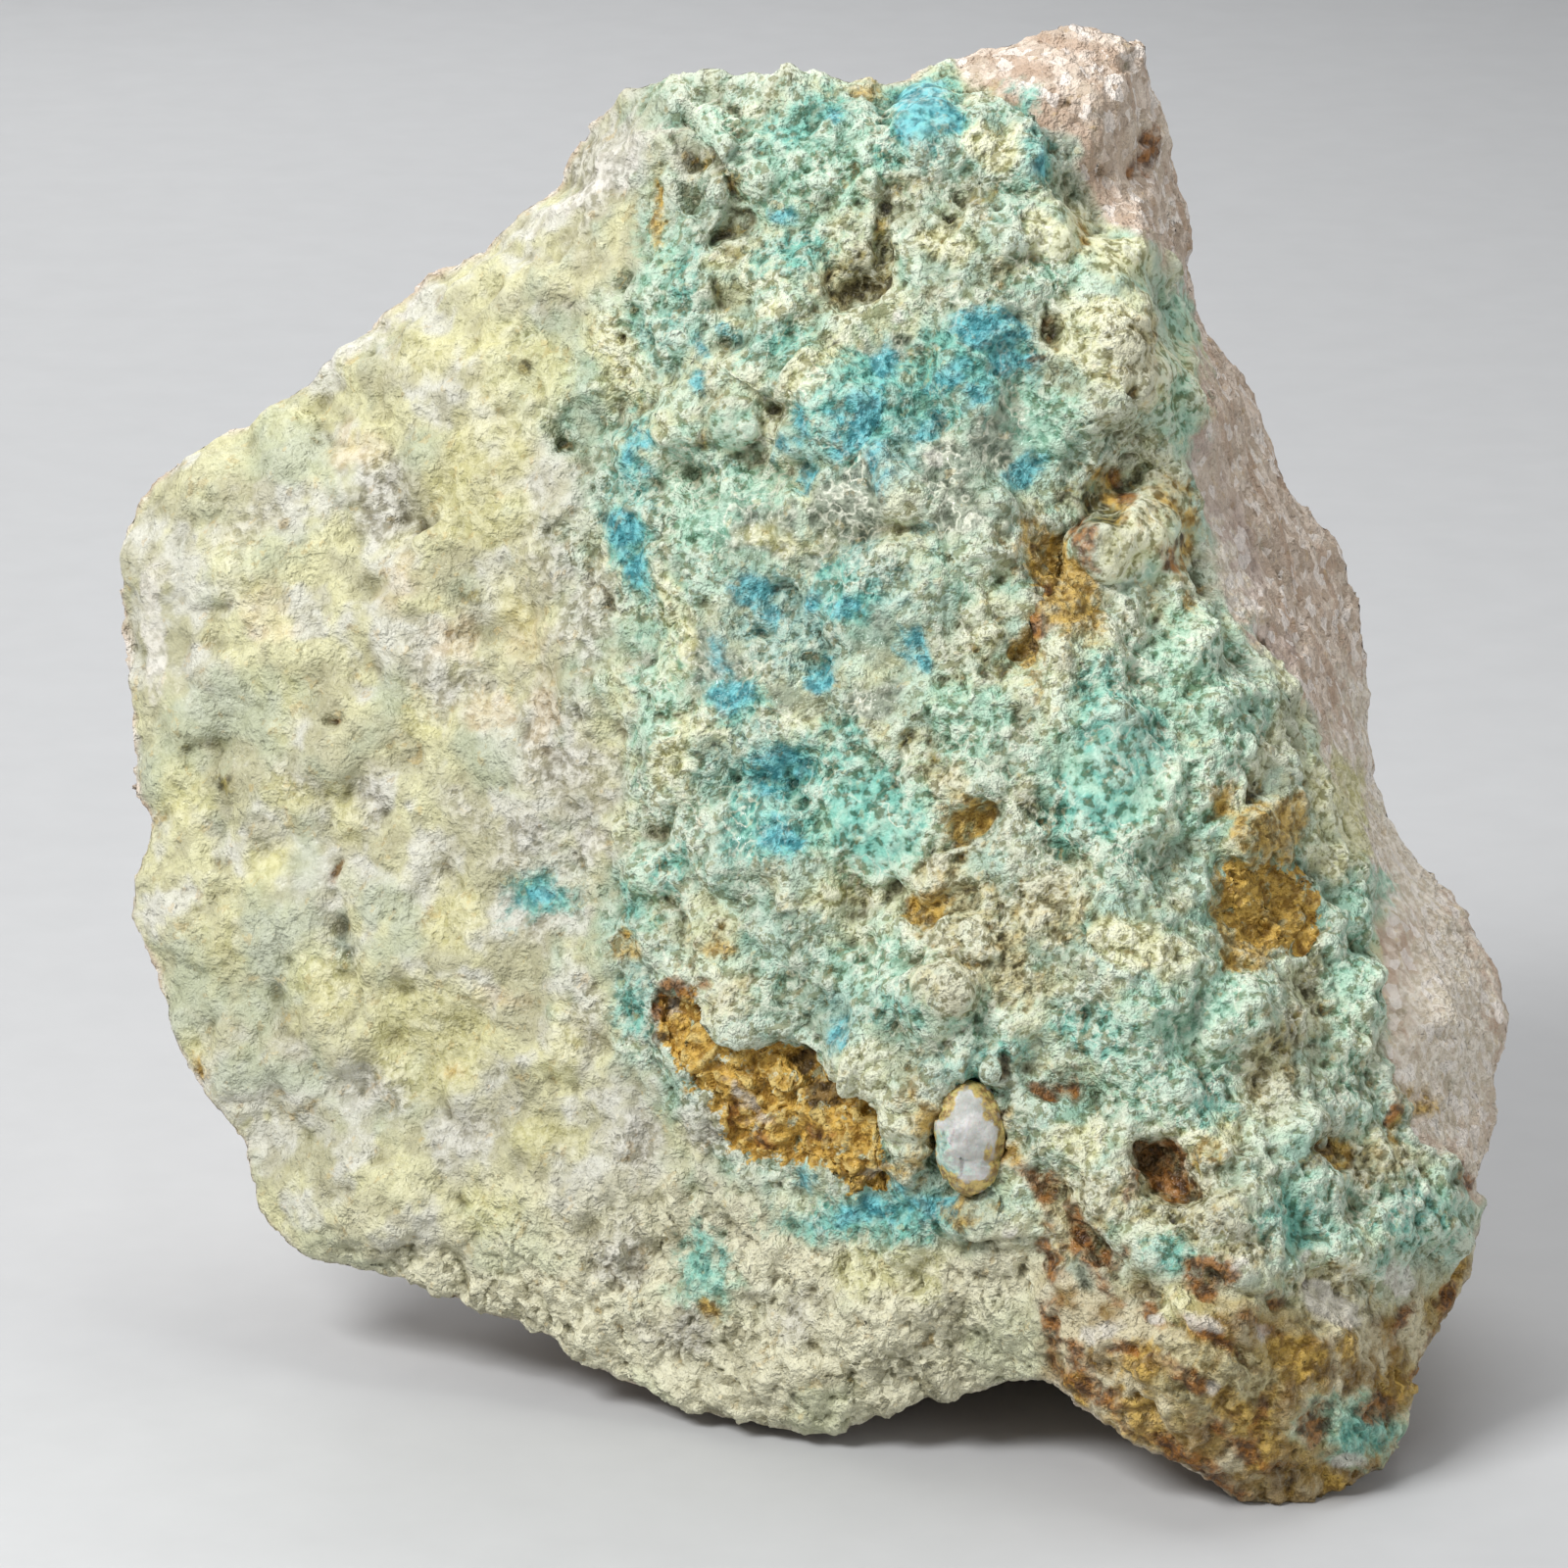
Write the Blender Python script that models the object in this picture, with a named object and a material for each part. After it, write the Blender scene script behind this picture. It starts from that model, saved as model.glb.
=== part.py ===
"""Mansfieldite on quartzite: a hand-sized chip of quartzite, broken on every side, with a lumpy
blue-green crust of mansfieldite over its front, two crumbly patches of limonite and one pale
grain of quartz set in the crust. It stands on a small flat of its underside.

Lengths are in millimetres in the stone's own face frame: x across the front face to the right,
h up the face, d depth into the stone. place() leans that frame back and sets it on the ground,
in metres with +Z up and the front face towards -Y.
"""

import math

import bmesh
import bpy
import numpy as np
from mathutils import Matrix, Vector, noise
from mathutils.bvhtree import BVHTree
from mathutils.geometry import delaunay_2d_cdt

MM = 0.001

# ---------------------------------------------------------------- driving dimensions, mm
LEAN = math.radians(17.0)      # the front face leans back by this much
FOOT = 21.0                    # ground level, this far below the middle of the face
SIGHT = 260.0                  # the stone widens with depth as seen from a point this far in front
GROUND_REACH = 60.0            # half width of the block that cuts the flat of the foot
GAP = 0.3                      # clearance between touching pieces
STEP_IN = 0.2                  # how far a recess wall slopes in on its way down

CRUST_THICK = 2.4              # depth of the bed that the crust lies in
CRUST_PROUD = 0.35             # how far the crust stands above the stone around it
LIMONITE_THICK = 1.4           # depth of the bed of each limonite patch
LIMONITE_SUNK = 0.1            # how far the patches lie behind the stone around them
GRAIN_SIZE = (1.05, 1.75, 0.8)  # half width, half height and half thickness of the quartz grain
GRAIN_CENTRE = (5.0, -11.8)
GRAIN_RISE = 0.55              # how far the middle of the grain stands in front of the crust
BLUNT = 1.08                   # the grain's lumps swell it by at most this much
THIN = 0.6                     # an inlay is never thinner than this in its middle
THIN_EDGE = 0.3                # nor than this anywhere
EDGE_ROLL = 0.35               # the edge of an inlay rolls back by this much

STONE_SPACING = 1.1            # distance between the points that shape each surface
CRUST_SPACING = 0.74
PATCH_SPACING = 0.62
BED_SPACING = 2.4
BACK_SPACING = 2.1

FRONT_SWELL = (0.48, 3.2)      # height and size of the swells of the front
FRONT_GRAIN = (0.18, 1.1)      # and of its small bumps
CRUMBLE = (0.5, 1.1)           # and of the crumbs of limonite
LUMP_COUNT = 230               # small round lumps spread over the front
LUMP_RADIUS = (0.7, 1.6)
LUMP_RISE = 0.26               # height of a lump as a share of its radius
FACE_REACH = 23.0              # the lumps are spread over a square of this half width
BACK_SHRINK = 0.86             # the back is this much smaller than the front
WALL_ROWS = 6                  # rows of points between the front's edge and the back's
WALL_TAPER = 1.6               # power of the curve by which the wall draws in
WALL_FACET = 5.5               # size of the fracture faces of the wall
WALL_DENT = 2.3                # and how far they cut in
WALL_GRAIN = (0.2, 1.8)        # height, as a share of the dent, and size of the wall's bumps
BACK_FACET = 7.0               # size of the fracture faces of the back
BACK_DENT = 1.5                # and how far they cut in
BACK_SWELL = (0.3, 2.5)        # height and size of the bumps of the back

# The edge of the stone as it is seen from the front: x, h and depth, clockwise from the top left.
OUTLINE = [
    (-5.3, 21.7, 3.4), (-4.3, 21.9, 2.4), (-2.3, 21.8, 1.9), (-0.9, 21.5, 1.7), (0.2, 21.8, 1.7),
    (2.4, 21.5, 1.8), (3.8, 22.0, 2.6), (4.4, 22.7, 3.0), (5.7, 22.8, 3.2), (7.4, 23.4, 3.2),
    (8.2, 23.6, 3.4), (10.4, 23.2, 3.8), (10.5, 22.0, 5.0), (11.3, 20.4, 6.0), (11.5, 19.2, 6.5),
    (11.9, 17.2, 7.0), (12.0, 15.5, 7.5), (12.7, 13.6, 8.5), (13.9, 12.0, 9.0), (14.9, 9.4, 9.5),
    (15.6, 8.2, 10.0), (16.8, 6.8, 10.0), (17.4, 4.8, 10.0), (17.6, 2.6, 10.0), (17.8, 0.5, 9.0),
    (18.2, -1.8, 8.0), (19.7, -3.8, 7.5), (21.0, -5.2, 7.0), (21.9, -7.8, 6.0), (21.6, -10.8, 4.5),
    (21.2, -14.4, 2.5), (20.8, -16.2, 1.5), (19.7, -18.4, 0.0), (19.1, -19.4, -1.0),
    (18.9, -21.3, -2.0), (17.5, -22.7, -3.0), (15.9, -23.5, -3.5), (14.3, -23.4, -4.0),
    (11.9, -22.1, -4.5), (10.3, -21.3, -4.5), (8.7, -20.3, -4.0), (7.9, -19.5, -3.0),
    (7.1, -19.4, -1.6), (4.4, -20.0, -0.8), (1.5, -20.5, 0.0), (0.9, -21.0, 0.3),
    (-0.4, -21.2, 0.5), (-2.6, -20.7, 1.5), (-4.5, -20.2, 2.3), (-5.9, -19.6, 3.0),
    (-8.7, -17.9, 4.0), (-11.1, -17.0, 5.0), (-13.8, -16.0, 6.0), (-15.0, -15.9, 6.5),
    (-17.2, -14.8, 7.4), (-17.8, -13.8, 7.6), (-17.9, -11.7, 7.8), (-19.9, -9.5, 8.2),
    (-20.3, -7.8, 8.2), (-21.4, -5.3, 8.6), (-21.4, -3.8, 8.6), (-20.9, -1.8, 8.2),
    (-21.6, -0.6, 8.6), (-21.7, 3.4, 8.8), (-22.0, 5.0, 8.8), (-21.8, 7.5, 8.8),
    (-21.1, 8.8, 8.8), (-20.0, 9.7, 8.6), (-16.3, 12.0, 7.9), (-13.3, 14.4, 7.2),
    (-11.6, 16.0, 6.8), (-10.8, 15.8, 6.6), (-9.5, 17.4, 6.2), (-7.8, 18.7, 5.8),
    (-7.5, 20.0, 5.4), (-6.5, 21.0, 4.6),
]

# Points inside that edge, where the broad shape of the front bends.
LEFT_FACE = [
    (-20.4, 7.4, 7.0), (-17.3, 10.2, 6.1), (-12.6, 13.7, 5.0), (-9.2, 16.0, 4.2), (-6.6, 18.6, 3.2),
    (-20.4, 2.0, 7.1), (-20.0, -5.0, 7.1), (-18.4, -10.0, 6.8), (-15.2, -14.4, 5.8),
    (-17.0, 4.0, 6.0), (-15.0, -3.0, 5.4), (-13.8, 8.0, 5.3), (-12.6, 1.0, 4.5), (-12.0, -9.0, 4.6),
    (-9.4, 9.0, 3.2), (-8.6, 0.0, 2.5), (-8.4, -7.0, 2.6), (-9.4, -14.6, 3.4), (-6.4, 14.8, 2.2),
]
CRUST_FACE = [
    (-4.7, 20.2, 1.1), (-4.5, 15.0, 1.0), (-5.4, 9.0, 1.2), (-5.6, 2.0, 0.9), (-5.4, -5.0, 0.7),
    (-4.2, -11.0, 0.5), (0.2, 20.0, 0.3), (0.0, 13.0, -0.3), (0.0, 5.0, -1.0), (0.0, -2.0, -1.5),
    (0.0, -9.0, -1.6), (4.6, 20.0, 0.0), (5.0, 13.0, -1.5), (5.2, 6.0, -2.7), (5.4, -2.0, -3.5),
    (5.2, -9.0, -4.0), (8.0, 16.6, -0.9), (10.0, 12.6, -1.3), (9.6, 3.0, -3.1), (10.2, -3.0, -3.9),
    (10.2, -9.0, -4.7), (13.6, 0.4, -2.0), (14.4, -5.6, -2.8), (14.8, -10.0, -3.5),
]
FOOT_ZONE = [
    (-4.2, -16.6, 1.4), (-1.0, -19.6, 0.2), (0.4, -15.4, -0.9), (3.4, -18.8, -1.2),
    (5.2, -14.8, -3.0), (6.6, -18.2, -2.2),
]
LOBE = [
    (8.2, -14.6, -5.0), (8.9, -18.4, -5.6), (12.0, -20.4, -6.1), (13.6, -17.4, -6.6),
    (14.0, -13.2, -5.1), (17.0, -15.2, -3.9), (16.6, -20.6, -5.2),
]
CRUST_EDGE = [
    (7.9, 19.0, 0.3), (10.6, 16.7, 0.3), (12.4, 12.4, 0.5), (10.8, 9.8, 0.3), (12.5, 6.3, 0.3),
    (14.6, 2.4, 0.3), (16.2, -0.9, 0.4), (18.1, -4.0, 0.3), (18.2, -9.4, -0.6), (20.4, -13.6, -0.4),
]
SIDE_FACE = [
    (7.0, 21.8, 1.0), (9.5, 21.4, 1.4), (10.4, 18.8, 3.4), (13.3, 9.2, 4.2), (14.6, 6.6, 5.2),
    (16.2, 2.8, 5.6), (17.3, -0.6, 5.0), (19.0, -4.4, 3.6), (20.4, -8.4, 1.8),
]

# The back: a few broad fracture faces that meet along ridges.
BACK_FACE = [
    (-14.0, 5.0, 13.2), (-9.0, -8.0, 15.0), (-3.0, 11.0, 13.6), (-1.0, -1.0, 17.4),
    (3.0, -12.0, 18.2), (6.0, 15.0, 12.8), (9.0, 4.0, 16.4), (12.0, -9.0, 18.0), (15.0, -15.0, 15.6),
]

# The bed of the crust, clockwise from its top left corner.
CRUST_BED = [
    (-4.2, 20.8), (-0.9, 20.6), (2.3, 20.6), (3.9, 21.1), (5.7, 21.1), (7.2, 20.2), (7.8, 18.7),
    (8.7, 17.5), (10.2, 16.6), (10.9, 15.5), (11.3, 14.0), (12.0, 12.5), (11.6, 11.4), (11.1, 10.6),
    (10.4, 9.9), (10.4, 8.8), (11.8, 7.9), (12.3, 6.5), (13.0, 4.5), (14.3, 2.6), (15.2, 1.4),
    (15.9, -0.6), (16.5, -2.6), (17.6, -4.0), (17.8, -6.8), (17.5, -9.3), (18.4, -11.5),
    (20.1, -13.5), (19.6, -15.6), (17.9, -16.8), (15.4, -17.1), (12.6, -16.8), (10.1, -16.2),
    (8.5, -15.3), (6.9, -14.9), (4.6, -15.0), (2.3, -15.1), (-0.3, -14.2), (-2.8, -13.5),
    (-5.4, -10.2), (-6.7, -5.8), (-6.5, -2.1), (-5.9, 1.0), (-6.8, 4.4), (-7.1, 6.9), (-6.3, 9.8),
    (-5.6, 12.6), (-4.3, 15.4), (-4.9, 18.2),
]
LIMONITE_BEDS = {
    "limonite_centre": [
        (-4.8, -7.1), (-3.2, -7.0), (-2.6, -8.5), (-0.9, -8.7), (1.3, -9.6), (2.4, -10.1),
        (2.9, -12.2), (2.8, -13.2), (2.2, -13.8), (1.4, -13.4), (0.1, -12.5), (-1.5, -12.6),
        (-2.6, -12.0), (-2.9, -10.7), (-4.0, -9.8), (-4.7, -8.7),
    ],
    "limonite_right": [
        (13.2, -3.1), (14.6, -2.9), (16.0, -3.9), (15.9, -5.6), (14.8, -6.2), (13.4, -5.3),
        (12.9, -4.1),
    ],
}

# Round lumps, each as x, h, radius and height; a negative height is a hollow.
GLOBULES = [
    (-2.4, 11.0, 0.85, 0.7), (10.3, 7.3, 1.6, 1.3), (13.9, -2.0, 0.9, 0.8), (-3.1, 19.4, 0.75, 0.6),
    (-2.9, 17.7, 0.7, 0.6), (3.5, 20.4, 1.2, 0.7), (7.0, 19.2, 0.9, 0.4), (-13.8, 9.6, 1.7, 0.8),
    (11.6, 13.6, 1.2, 0.5), (4.4, -7.4, 0.8, 0.5), (8.8, 11.2, 1.3, 0.5), (1.8, 1.4, 1.4, 0.4),
    (11.0, -5.6, 1.7, 0.5), (14.6, 4.6, 1.0, 0.3), (-9.4, 12.4, 1.8, 0.5), (-17.2, 3.0, 2.2, 0.5),
    (-11.6, -6.2, 2.0, 0.5), (-6.6, -16.8, 1.8, 0.5), (2.4, -17.6, 1.6, 0.6), (12.4, -18.6, 1.8, 0.6),
]
HOLLOWS = [
    (-1.2, 11.7, 0.9, -0.5), (5.5, 18.3, 0.9, -0.9), (7.9, 14.0, 0.7, -0.6), (11.0, -12.9, 1.4, -1.2),
    (16.4, -12.4, 0.8, -0.8), (0.0, -9.7, 0.8, -0.7), (-12.6, 8.4, 1.4, -0.6), (-15.1, 1.3, 0.9, -0.4),
    (5.4, -1.9, 0.9, -0.6), (7.8, -10.2, 1.0, -0.6), (-10.4, 3.4, 1.8, -0.5), (-16.4, -7.4, 1.8, -0.5),
    (-1.6, 4.8, 1.6, -0.5), (4.6, 9.4, 1.2, -0.5), (-7.8, -11.6, 1.6, -0.5), (15.6, -18.6, 1.2, -0.6),
]
# Crevices and steps, each as its depth, its half width and the points that it runs through.
CREVICES = [
    (1.4, 0.8, [(10.4, 9.6), (9.3, 8.2), (7.8, 6.6), (7.1, 5.0), (6.9, 3.2)]),
    (0.7, 0.7, [(-3.9, 19.8), (-3.6, 18.2), (-2.2, 16.9)]),
    (0.7, 0.9, [(2.4, 17.7), (2.2, 15.4), (0.7, 15.0)]),
    (0.9, 0.6, [(6.3, -10.2), (6.4, -12.0), (6.2, -13.8)]),
    (0.7, 0.7, [(1.3, -4.2), (2.9, -4.8), (5.7, -4.5)]),
    (0.8, 0.6, [(7.4, -13.2), (8.2, -14.4), (9.4, -15.2)]),
    (0.5, 0.6, [(-14.9, -4.9), (-14.9, -6.9)]),
    (0.4, 0.8, [(-5.0, 19.2), (-5.2, 16.6)]),
]

# ------------------------------------------------------------------------------ colours
COLOURS = {
    "quartzite": ((0.66, 0.60, 0.47), 0.62),
    "mansfieldite_crust": ((0.36, 0.56, 0.46), 0.55),
    "limonite_centre": ((0.42, 0.20, 0.06), 0.85),
    "limonite_right": ((0.50, 0.29, 0.08), 0.85),
    "quartz_grain": ((0.72, 0.70, 0.68), 0.35),
}


# ------------------------------------------------------------------------ plane geometry
def place(x, h, d):
    """Point of the face frame, in mm, as a world vector in metres."""
    spread = 1.0 + d / SIGHT
    x, h = x * spread, h * spread
    y = d * math.cos(LEAN) + h * math.sin(LEAN)
    z = h * math.cos(LEAN) - d * math.sin(LEAN) + FOOT
    return Vector((x, y, z)) * MM


def resample(points, spacing):
    """The closed line through the points, with new points at an even spacing."""
    line = np.array(points + points[:1], dtype=float)
    lengths = np.linalg.norm(np.diff(line[:, :2], axis=0), axis=1)
    along = np.concatenate([[0.0], np.cumsum(lengths)])
    count = max(6, round(along[-1] / spacing))
    steps = np.linspace(0.0, along[-1], count, endpoint=False)
    return np.column_stack([np.interp(steps, along, line[:, k]) for k in range(line.shape[1])])


def offset(loop, distance):
    """The closed clockwise loop, moved outwards by the distance."""
    tangent = np.roll(loop, -1, axis=0)[:, :2] - np.roll(loop, 1, axis=0)[:, :2]
    tangent /= np.linalg.norm(tangent, axis=1)[:, None]
    normal = np.column_stack([-tangent[:, 1], tangent[:, 0]])
    moved = loop.copy()
    moved[:, :2] += normal * distance
    return moved


def inside(points, loop):
    """Which of the points lie inside the closed loop."""
    x, y = points[:, 0][:, None], points[:, 1][:, None]
    ax, ay = loop[:, 0], loop[:, 1]
    bx, by = np.roll(ax, -1), np.roll(ay, -1)
    rise = np.where(by == ay, 1e-12, by - ay)
    crossing = ((ay > y) != (by > y)) & (x < (bx - ax) * (y - ay) / rise + ax)
    return crossing.sum(axis=1) % 2 == 1


def distance_to_line(points, line, closed):
    """Distance of each point from the open or closed line."""
    starts = np.asarray(line, dtype=float)[:, :2]
    ends = np.roll(starts, -1, axis=0)
    if not closed:
        starts, ends = starts[:-1], ends[:-1]
    along = ends - starts
    away = points[:, None, :2] - starts[None]
    share = (away * along).sum(axis=2) / (along**2).sum(axis=1)
    foot = starts + along * np.clip(share, 0.0, 1.0)[:, :, None]
    return np.linalg.norm(points[:, None, :2] - foot, axis=2).min(axis=1)


def scatter(loop, spacing, keep_off, seed):
    """Points spread over the inside of the loop, well clear of every line in keep_off."""
    rng = np.random.default_rng(seed)
    low, high = loop[:, :2].min(axis=0), loop[:, :2].max(axis=0)
    rows = np.arange(low[1], high[1], spacing * math.sqrt(0.75))
    columns = np.arange(low[0], high[0], spacing)
    x, y = np.meshgrid(columns, rows)
    x = x + (np.arange(len(rows)) % 2)[:, None] * spacing / 2
    points = np.column_stack([x.ravel(), y.ravel()])
    points += rng.uniform(-0.28, 0.28, points.shape) * spacing
    points = points[inside(points, loop)]
    for line in keep_off:
        points = points[distance_to_line(points, line, True) > 0.55 * spacing]
    return points


def triangulate(loops, points):
    """Triangles over the inside of the first loop, with the edges of all the loops kept."""
    coords = np.vstack([loop[:, :2] for loop in loops] + [points[:, :2]])
    edges, first = [], len(loops[0])
    for loop in loops[1:]:
        count = len(loop)
        edges += [(first + i, first + (i + 1) % count) for i in range(count)]
        first += count
    region = list(range(len(loops[0]) - 1, -1, -1))
    found = delaunay_2d_cdt([Vector(c) for c in coords], edges, [region], 1, 1e-7)
    flat = np.array([(v.x, v.y) for v in found[0]])
    return flat, np.array(found[2])


# --------------------------------------------------------------------- the front surface
def make_net(rim, knots):
    """A coarse net through hand-placed points, which gives a depth for any x and h."""
    coords = np.array(rim + knots)
    flat, faces = triangulate([coords[: len(rim)]], coords[len(rim) :])
    nearest = [int(np.argmin(((coords[:, :2] - p) ** 2).sum(axis=1))) for p in flat]
    vertices = [Vector(coords[i]) for i in nearest]
    return BVHTree.FromPolygons(vertices, faces.tolist())


def net_depth(net, points):
    """Depth of the net at each point; a point off the net takes that of its nearest place."""
    depths = []
    for x, h in points[:, :2]:
        hit = net.ray_cast(Vector((x, h, -100.0)), Vector((0.0, 0.0, 1.0)))[0]
        if hit is None:
            hit = net.find_nearest(Vector((x, h, 5.0)))[0]
        depths.append(hit.z)
    return np.array(depths)


def roughness(points, size, octaves, seed):
    """Fractal noise of about -1 to 1 whose largest lumps have the given size."""
    shift = Vector((seed * 7.3, seed * 3.1, seed * 5.7))
    values = []
    for x, h in points[:, :2]:
        at = Vector((x, h, 0.0)) / size + shift
        values.append(noise.fractal(at, 0.9, 2.0, octaves))
    return np.array(values)


def bumps(points, height_and_size, octaves, seed):
    """Roughness scaled to a height in mm."""
    height, size = height_and_size
    return height * roughness(points, size, octaves, seed)


def fracture(points, size, seed):
    """A broken surface, about -1 to 1: tilted facets that meet along ridges; points are x, h, d."""
    shift = Vector((seed * 3.7, seed * 1.9, seed * 6.1))
    values = []
    for point in points:
        at = Vector(point) / size + shift
        levels = []
        for centre in noise.voronoi(at)[1]:
            away = at - centre
            tilt = noise.cell_vector(centre * 31.0) - Vector((0.5, 0.5, 0.5))
            levels.append(1.5 * tilt.dot(away) + 0.7 * noise.cell(centre * 17.0) - 0.5 * away.length)
        values.append(max(levels))
    return np.array(values)


def lump_field(points, lumps):
    """Height of all the round lumps and hollows at each point."""
    height = np.zeros(len(points))
    for x, h, radius, rise in lumps:
        away = np.hypot(points[:, 0] - x, points[:, 1] - h) / radius
        dome = np.sqrt(np.clip(1.0 - away**2, 0.0, 1.0))
        height = height + rise * dome if rise > 0 else height + rise * dome**2
    return height


def small_lumps(points):
    """Height of the many small lumps at each point; where two meet, the higher one shows."""
    rng = np.random.default_rng(23)
    height = np.zeros(len(points))
    for _ in range(LUMP_COUNT):
        x, h = rng.uniform(-FACE_REACH, FACE_REACH, 2)
        radius = rng.uniform(*LUMP_RADIUS)
        away = np.hypot(points[:, 0] - x, points[:, 1] - h) / radius
        height = np.maximum(height, LUMP_RISE * radius * np.sqrt(np.clip(1.0 - away**2, 0.0, 1.0)))
    return height


def crevice_field(points):
    """Depth of the crevices at each point."""
    cut = np.zeros(len(points))
    for depth, half_width, line in CREVICES:
        share = distance_to_line(points, line, False) / half_width
        cut = np.maximum(cut, depth * np.clip(1.0 - share, 0.0, 1.0))
    return cut


def front_depth(net, points):
    """Depth of the stone's visible front: broad shape, lumps, crevices and roughness."""
    depth = net_depth(net, points)
    depth -= lump_field(points, GLOBULES + HOLLOWS) + small_lumps(points)
    depth += crevice_field(points)
    depth -= bumps(points, FRONT_SWELL, 3, 1) + bumps(points, FRONT_GRAIN, 2, 2)
    return depth


def cubic_terms(points):
    """The terms of a cubic surface at each point."""
    x, h = points[:, 0] / 20.0, points[:, 1] / 20.0
    return np.column_stack([x**i * h**j for i in range(4) for j in range(4 - i)])


def make_bed(net, loop):
    """A smooth cubic surface that follows the net inside the loop, as a function of the points."""
    samples = scatter(loop, 1.5, [], 3)
    fit = np.linalg.lstsq(cubic_terms(samples), net_depth(net, samples), rcond=None)[0]

    def bed(points, thickness):
        return cubic_terms(points) @ fit + thickness

    return bed


# ---------------------------------------------------------------------- closing the solids
def mesh_object(name, vertices, faces):
    """An object of one closed body, with its own material."""
    mesh = bpy.data.meshes.new(name)
    mesh.from_pydata([tuple(v) for v in vertices], [], [tuple(f) for f in faces])
    shape = bmesh.new()
    shape.from_mesh(mesh)
    bmesh.ops.recalc_face_normals(shape, faces=shape.faces)
    bmesh.ops.triangulate(shape, faces=shape.faces)
    shape.to_mesh(mesh)
    shape.free()
    piece = bpy.data.objects.new(name, mesh)
    bpy.context.collection.objects.link(piece)
    colour, rough = COLOURS[name]
    mesh.materials.append(stone_material(name, colour, rough))
    return piece


def flatten_foot(stone):
    """Takes off what is below the ground, which leaves the flat that the stone rests on."""
    bpy.ops.mesh.primitive_cube_add(size=2 * GROUND_REACH * MM, location=(0, 0, -GROUND_REACH * MM))
    ground = bpy.context.object
    ground.name = "ground_cutter"
    ground.hide_render = True
    ground.display_type = "WIRE"
    cut = stone.modifiers.new("Flat foot", "BOOLEAN")
    cut.operation = "DIFFERENCE"
    cut.object = ground
    cut.solver = "EXACT"


def stone_material(name, colour, rough):
    """A Principled material of the piece's own colour."""
    material = bpy.data.materials.new(name)
    material.use_nodes = True
    shader = material.node_tree.nodes["Principled BSDF"]
    shader.inputs["Base Color"].default_value = (*colour, 1.0)
    shader.inputs["Roughness"].default_value = rough
    return material


def join_rings(first_ring, second_ring):
    """Quads between two rings of the same number of vertices."""
    count = len(first_ring)
    return [
        (first_ring[i], first_ring[(i + 1) % count], second_ring[(i + 1) % count], second_ring[i])
        for i in range(count)
    ]


def closed_body(front, front_faces, back, back_faces, rings):
    """Vertices and faces of a front sheet, a back sheet and the rows of the wall between them.

    Each sheet's first vertices are its edge, in the same order as the rows of the wall.
    """
    edge = list(range(len(rings[0])))
    vertices = list(front)
    rows = [edge]
    for ring in rings:
        rows.append([i + len(vertices) for i in edge])
        vertices += list(ring)
    first_back = len(vertices)
    rows.append([i + first_back for i in edge])
    vertices += list(back)
    faces = [tuple(face) for face in front_faces]
    faces += [tuple(i + first_back for i in reversed(face)) for face in back_faces]
    for upper, lower in zip(rows, rows[1:]):
        faces += join_rings(upper, lower)
    return vertices, faces


def inlay_solid(name, bed_loop, front_at, floor_at, spacing, bed_spacing, inner, seed):
    """A piece that lies in a bed: its own front, a floor just clear of the bed, and a low wall.

    inner holds the beds that lie in this piece, each as a loop and a function for its floor.
    """
    edge = offset(bed_loop, -GAP)
    loops, fills = [edge], []
    for loop, _ in inner:
        loops += [offset(loop, STEP_IN), loop]
        fills.append(scatter(loop, bed_spacing, [loop], seed + 7))
    open_points = scatter(edge, spacing, loops, seed)
    for loop, _ in inner:
        open_points = open_points[~inside(open_points, offset(loop, STEP_IN))]
    flat, faces = triangulate(loops, np.vstack([open_points] + fills))
    depth = np.minimum(front_at(flat), floor_at(flat) - GAP - THIN)
    for loop, floor in inner:
        down = inside(flat, offset(loop, STEP_IN / 2))
        depth[down] = floor(flat[down])
    depth[: len(edge)] += EDGE_ROLL
    depth = np.minimum(depth, floor_at(flat) - GAP - THIN_EDGE)
    low, low_faces = triangulate([edge], scatter(edge, bed_spacing, [edge], seed + 3))
    low_depth = floor_at(low) - GAP
    front = [place(x, h, d) for (x, h), d in zip(flat, depth)]
    back = [place(x, h, d) for (x, h), d in zip(low, low_depth)]
    middle = [front[i].lerp(back[i], 0.5) for i in range(len(edge))]
    vertices, solid_faces = closed_body(front, faces, back, low_faces, [middle])
    return mesh_object(name, vertices, solid_faces)


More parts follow.
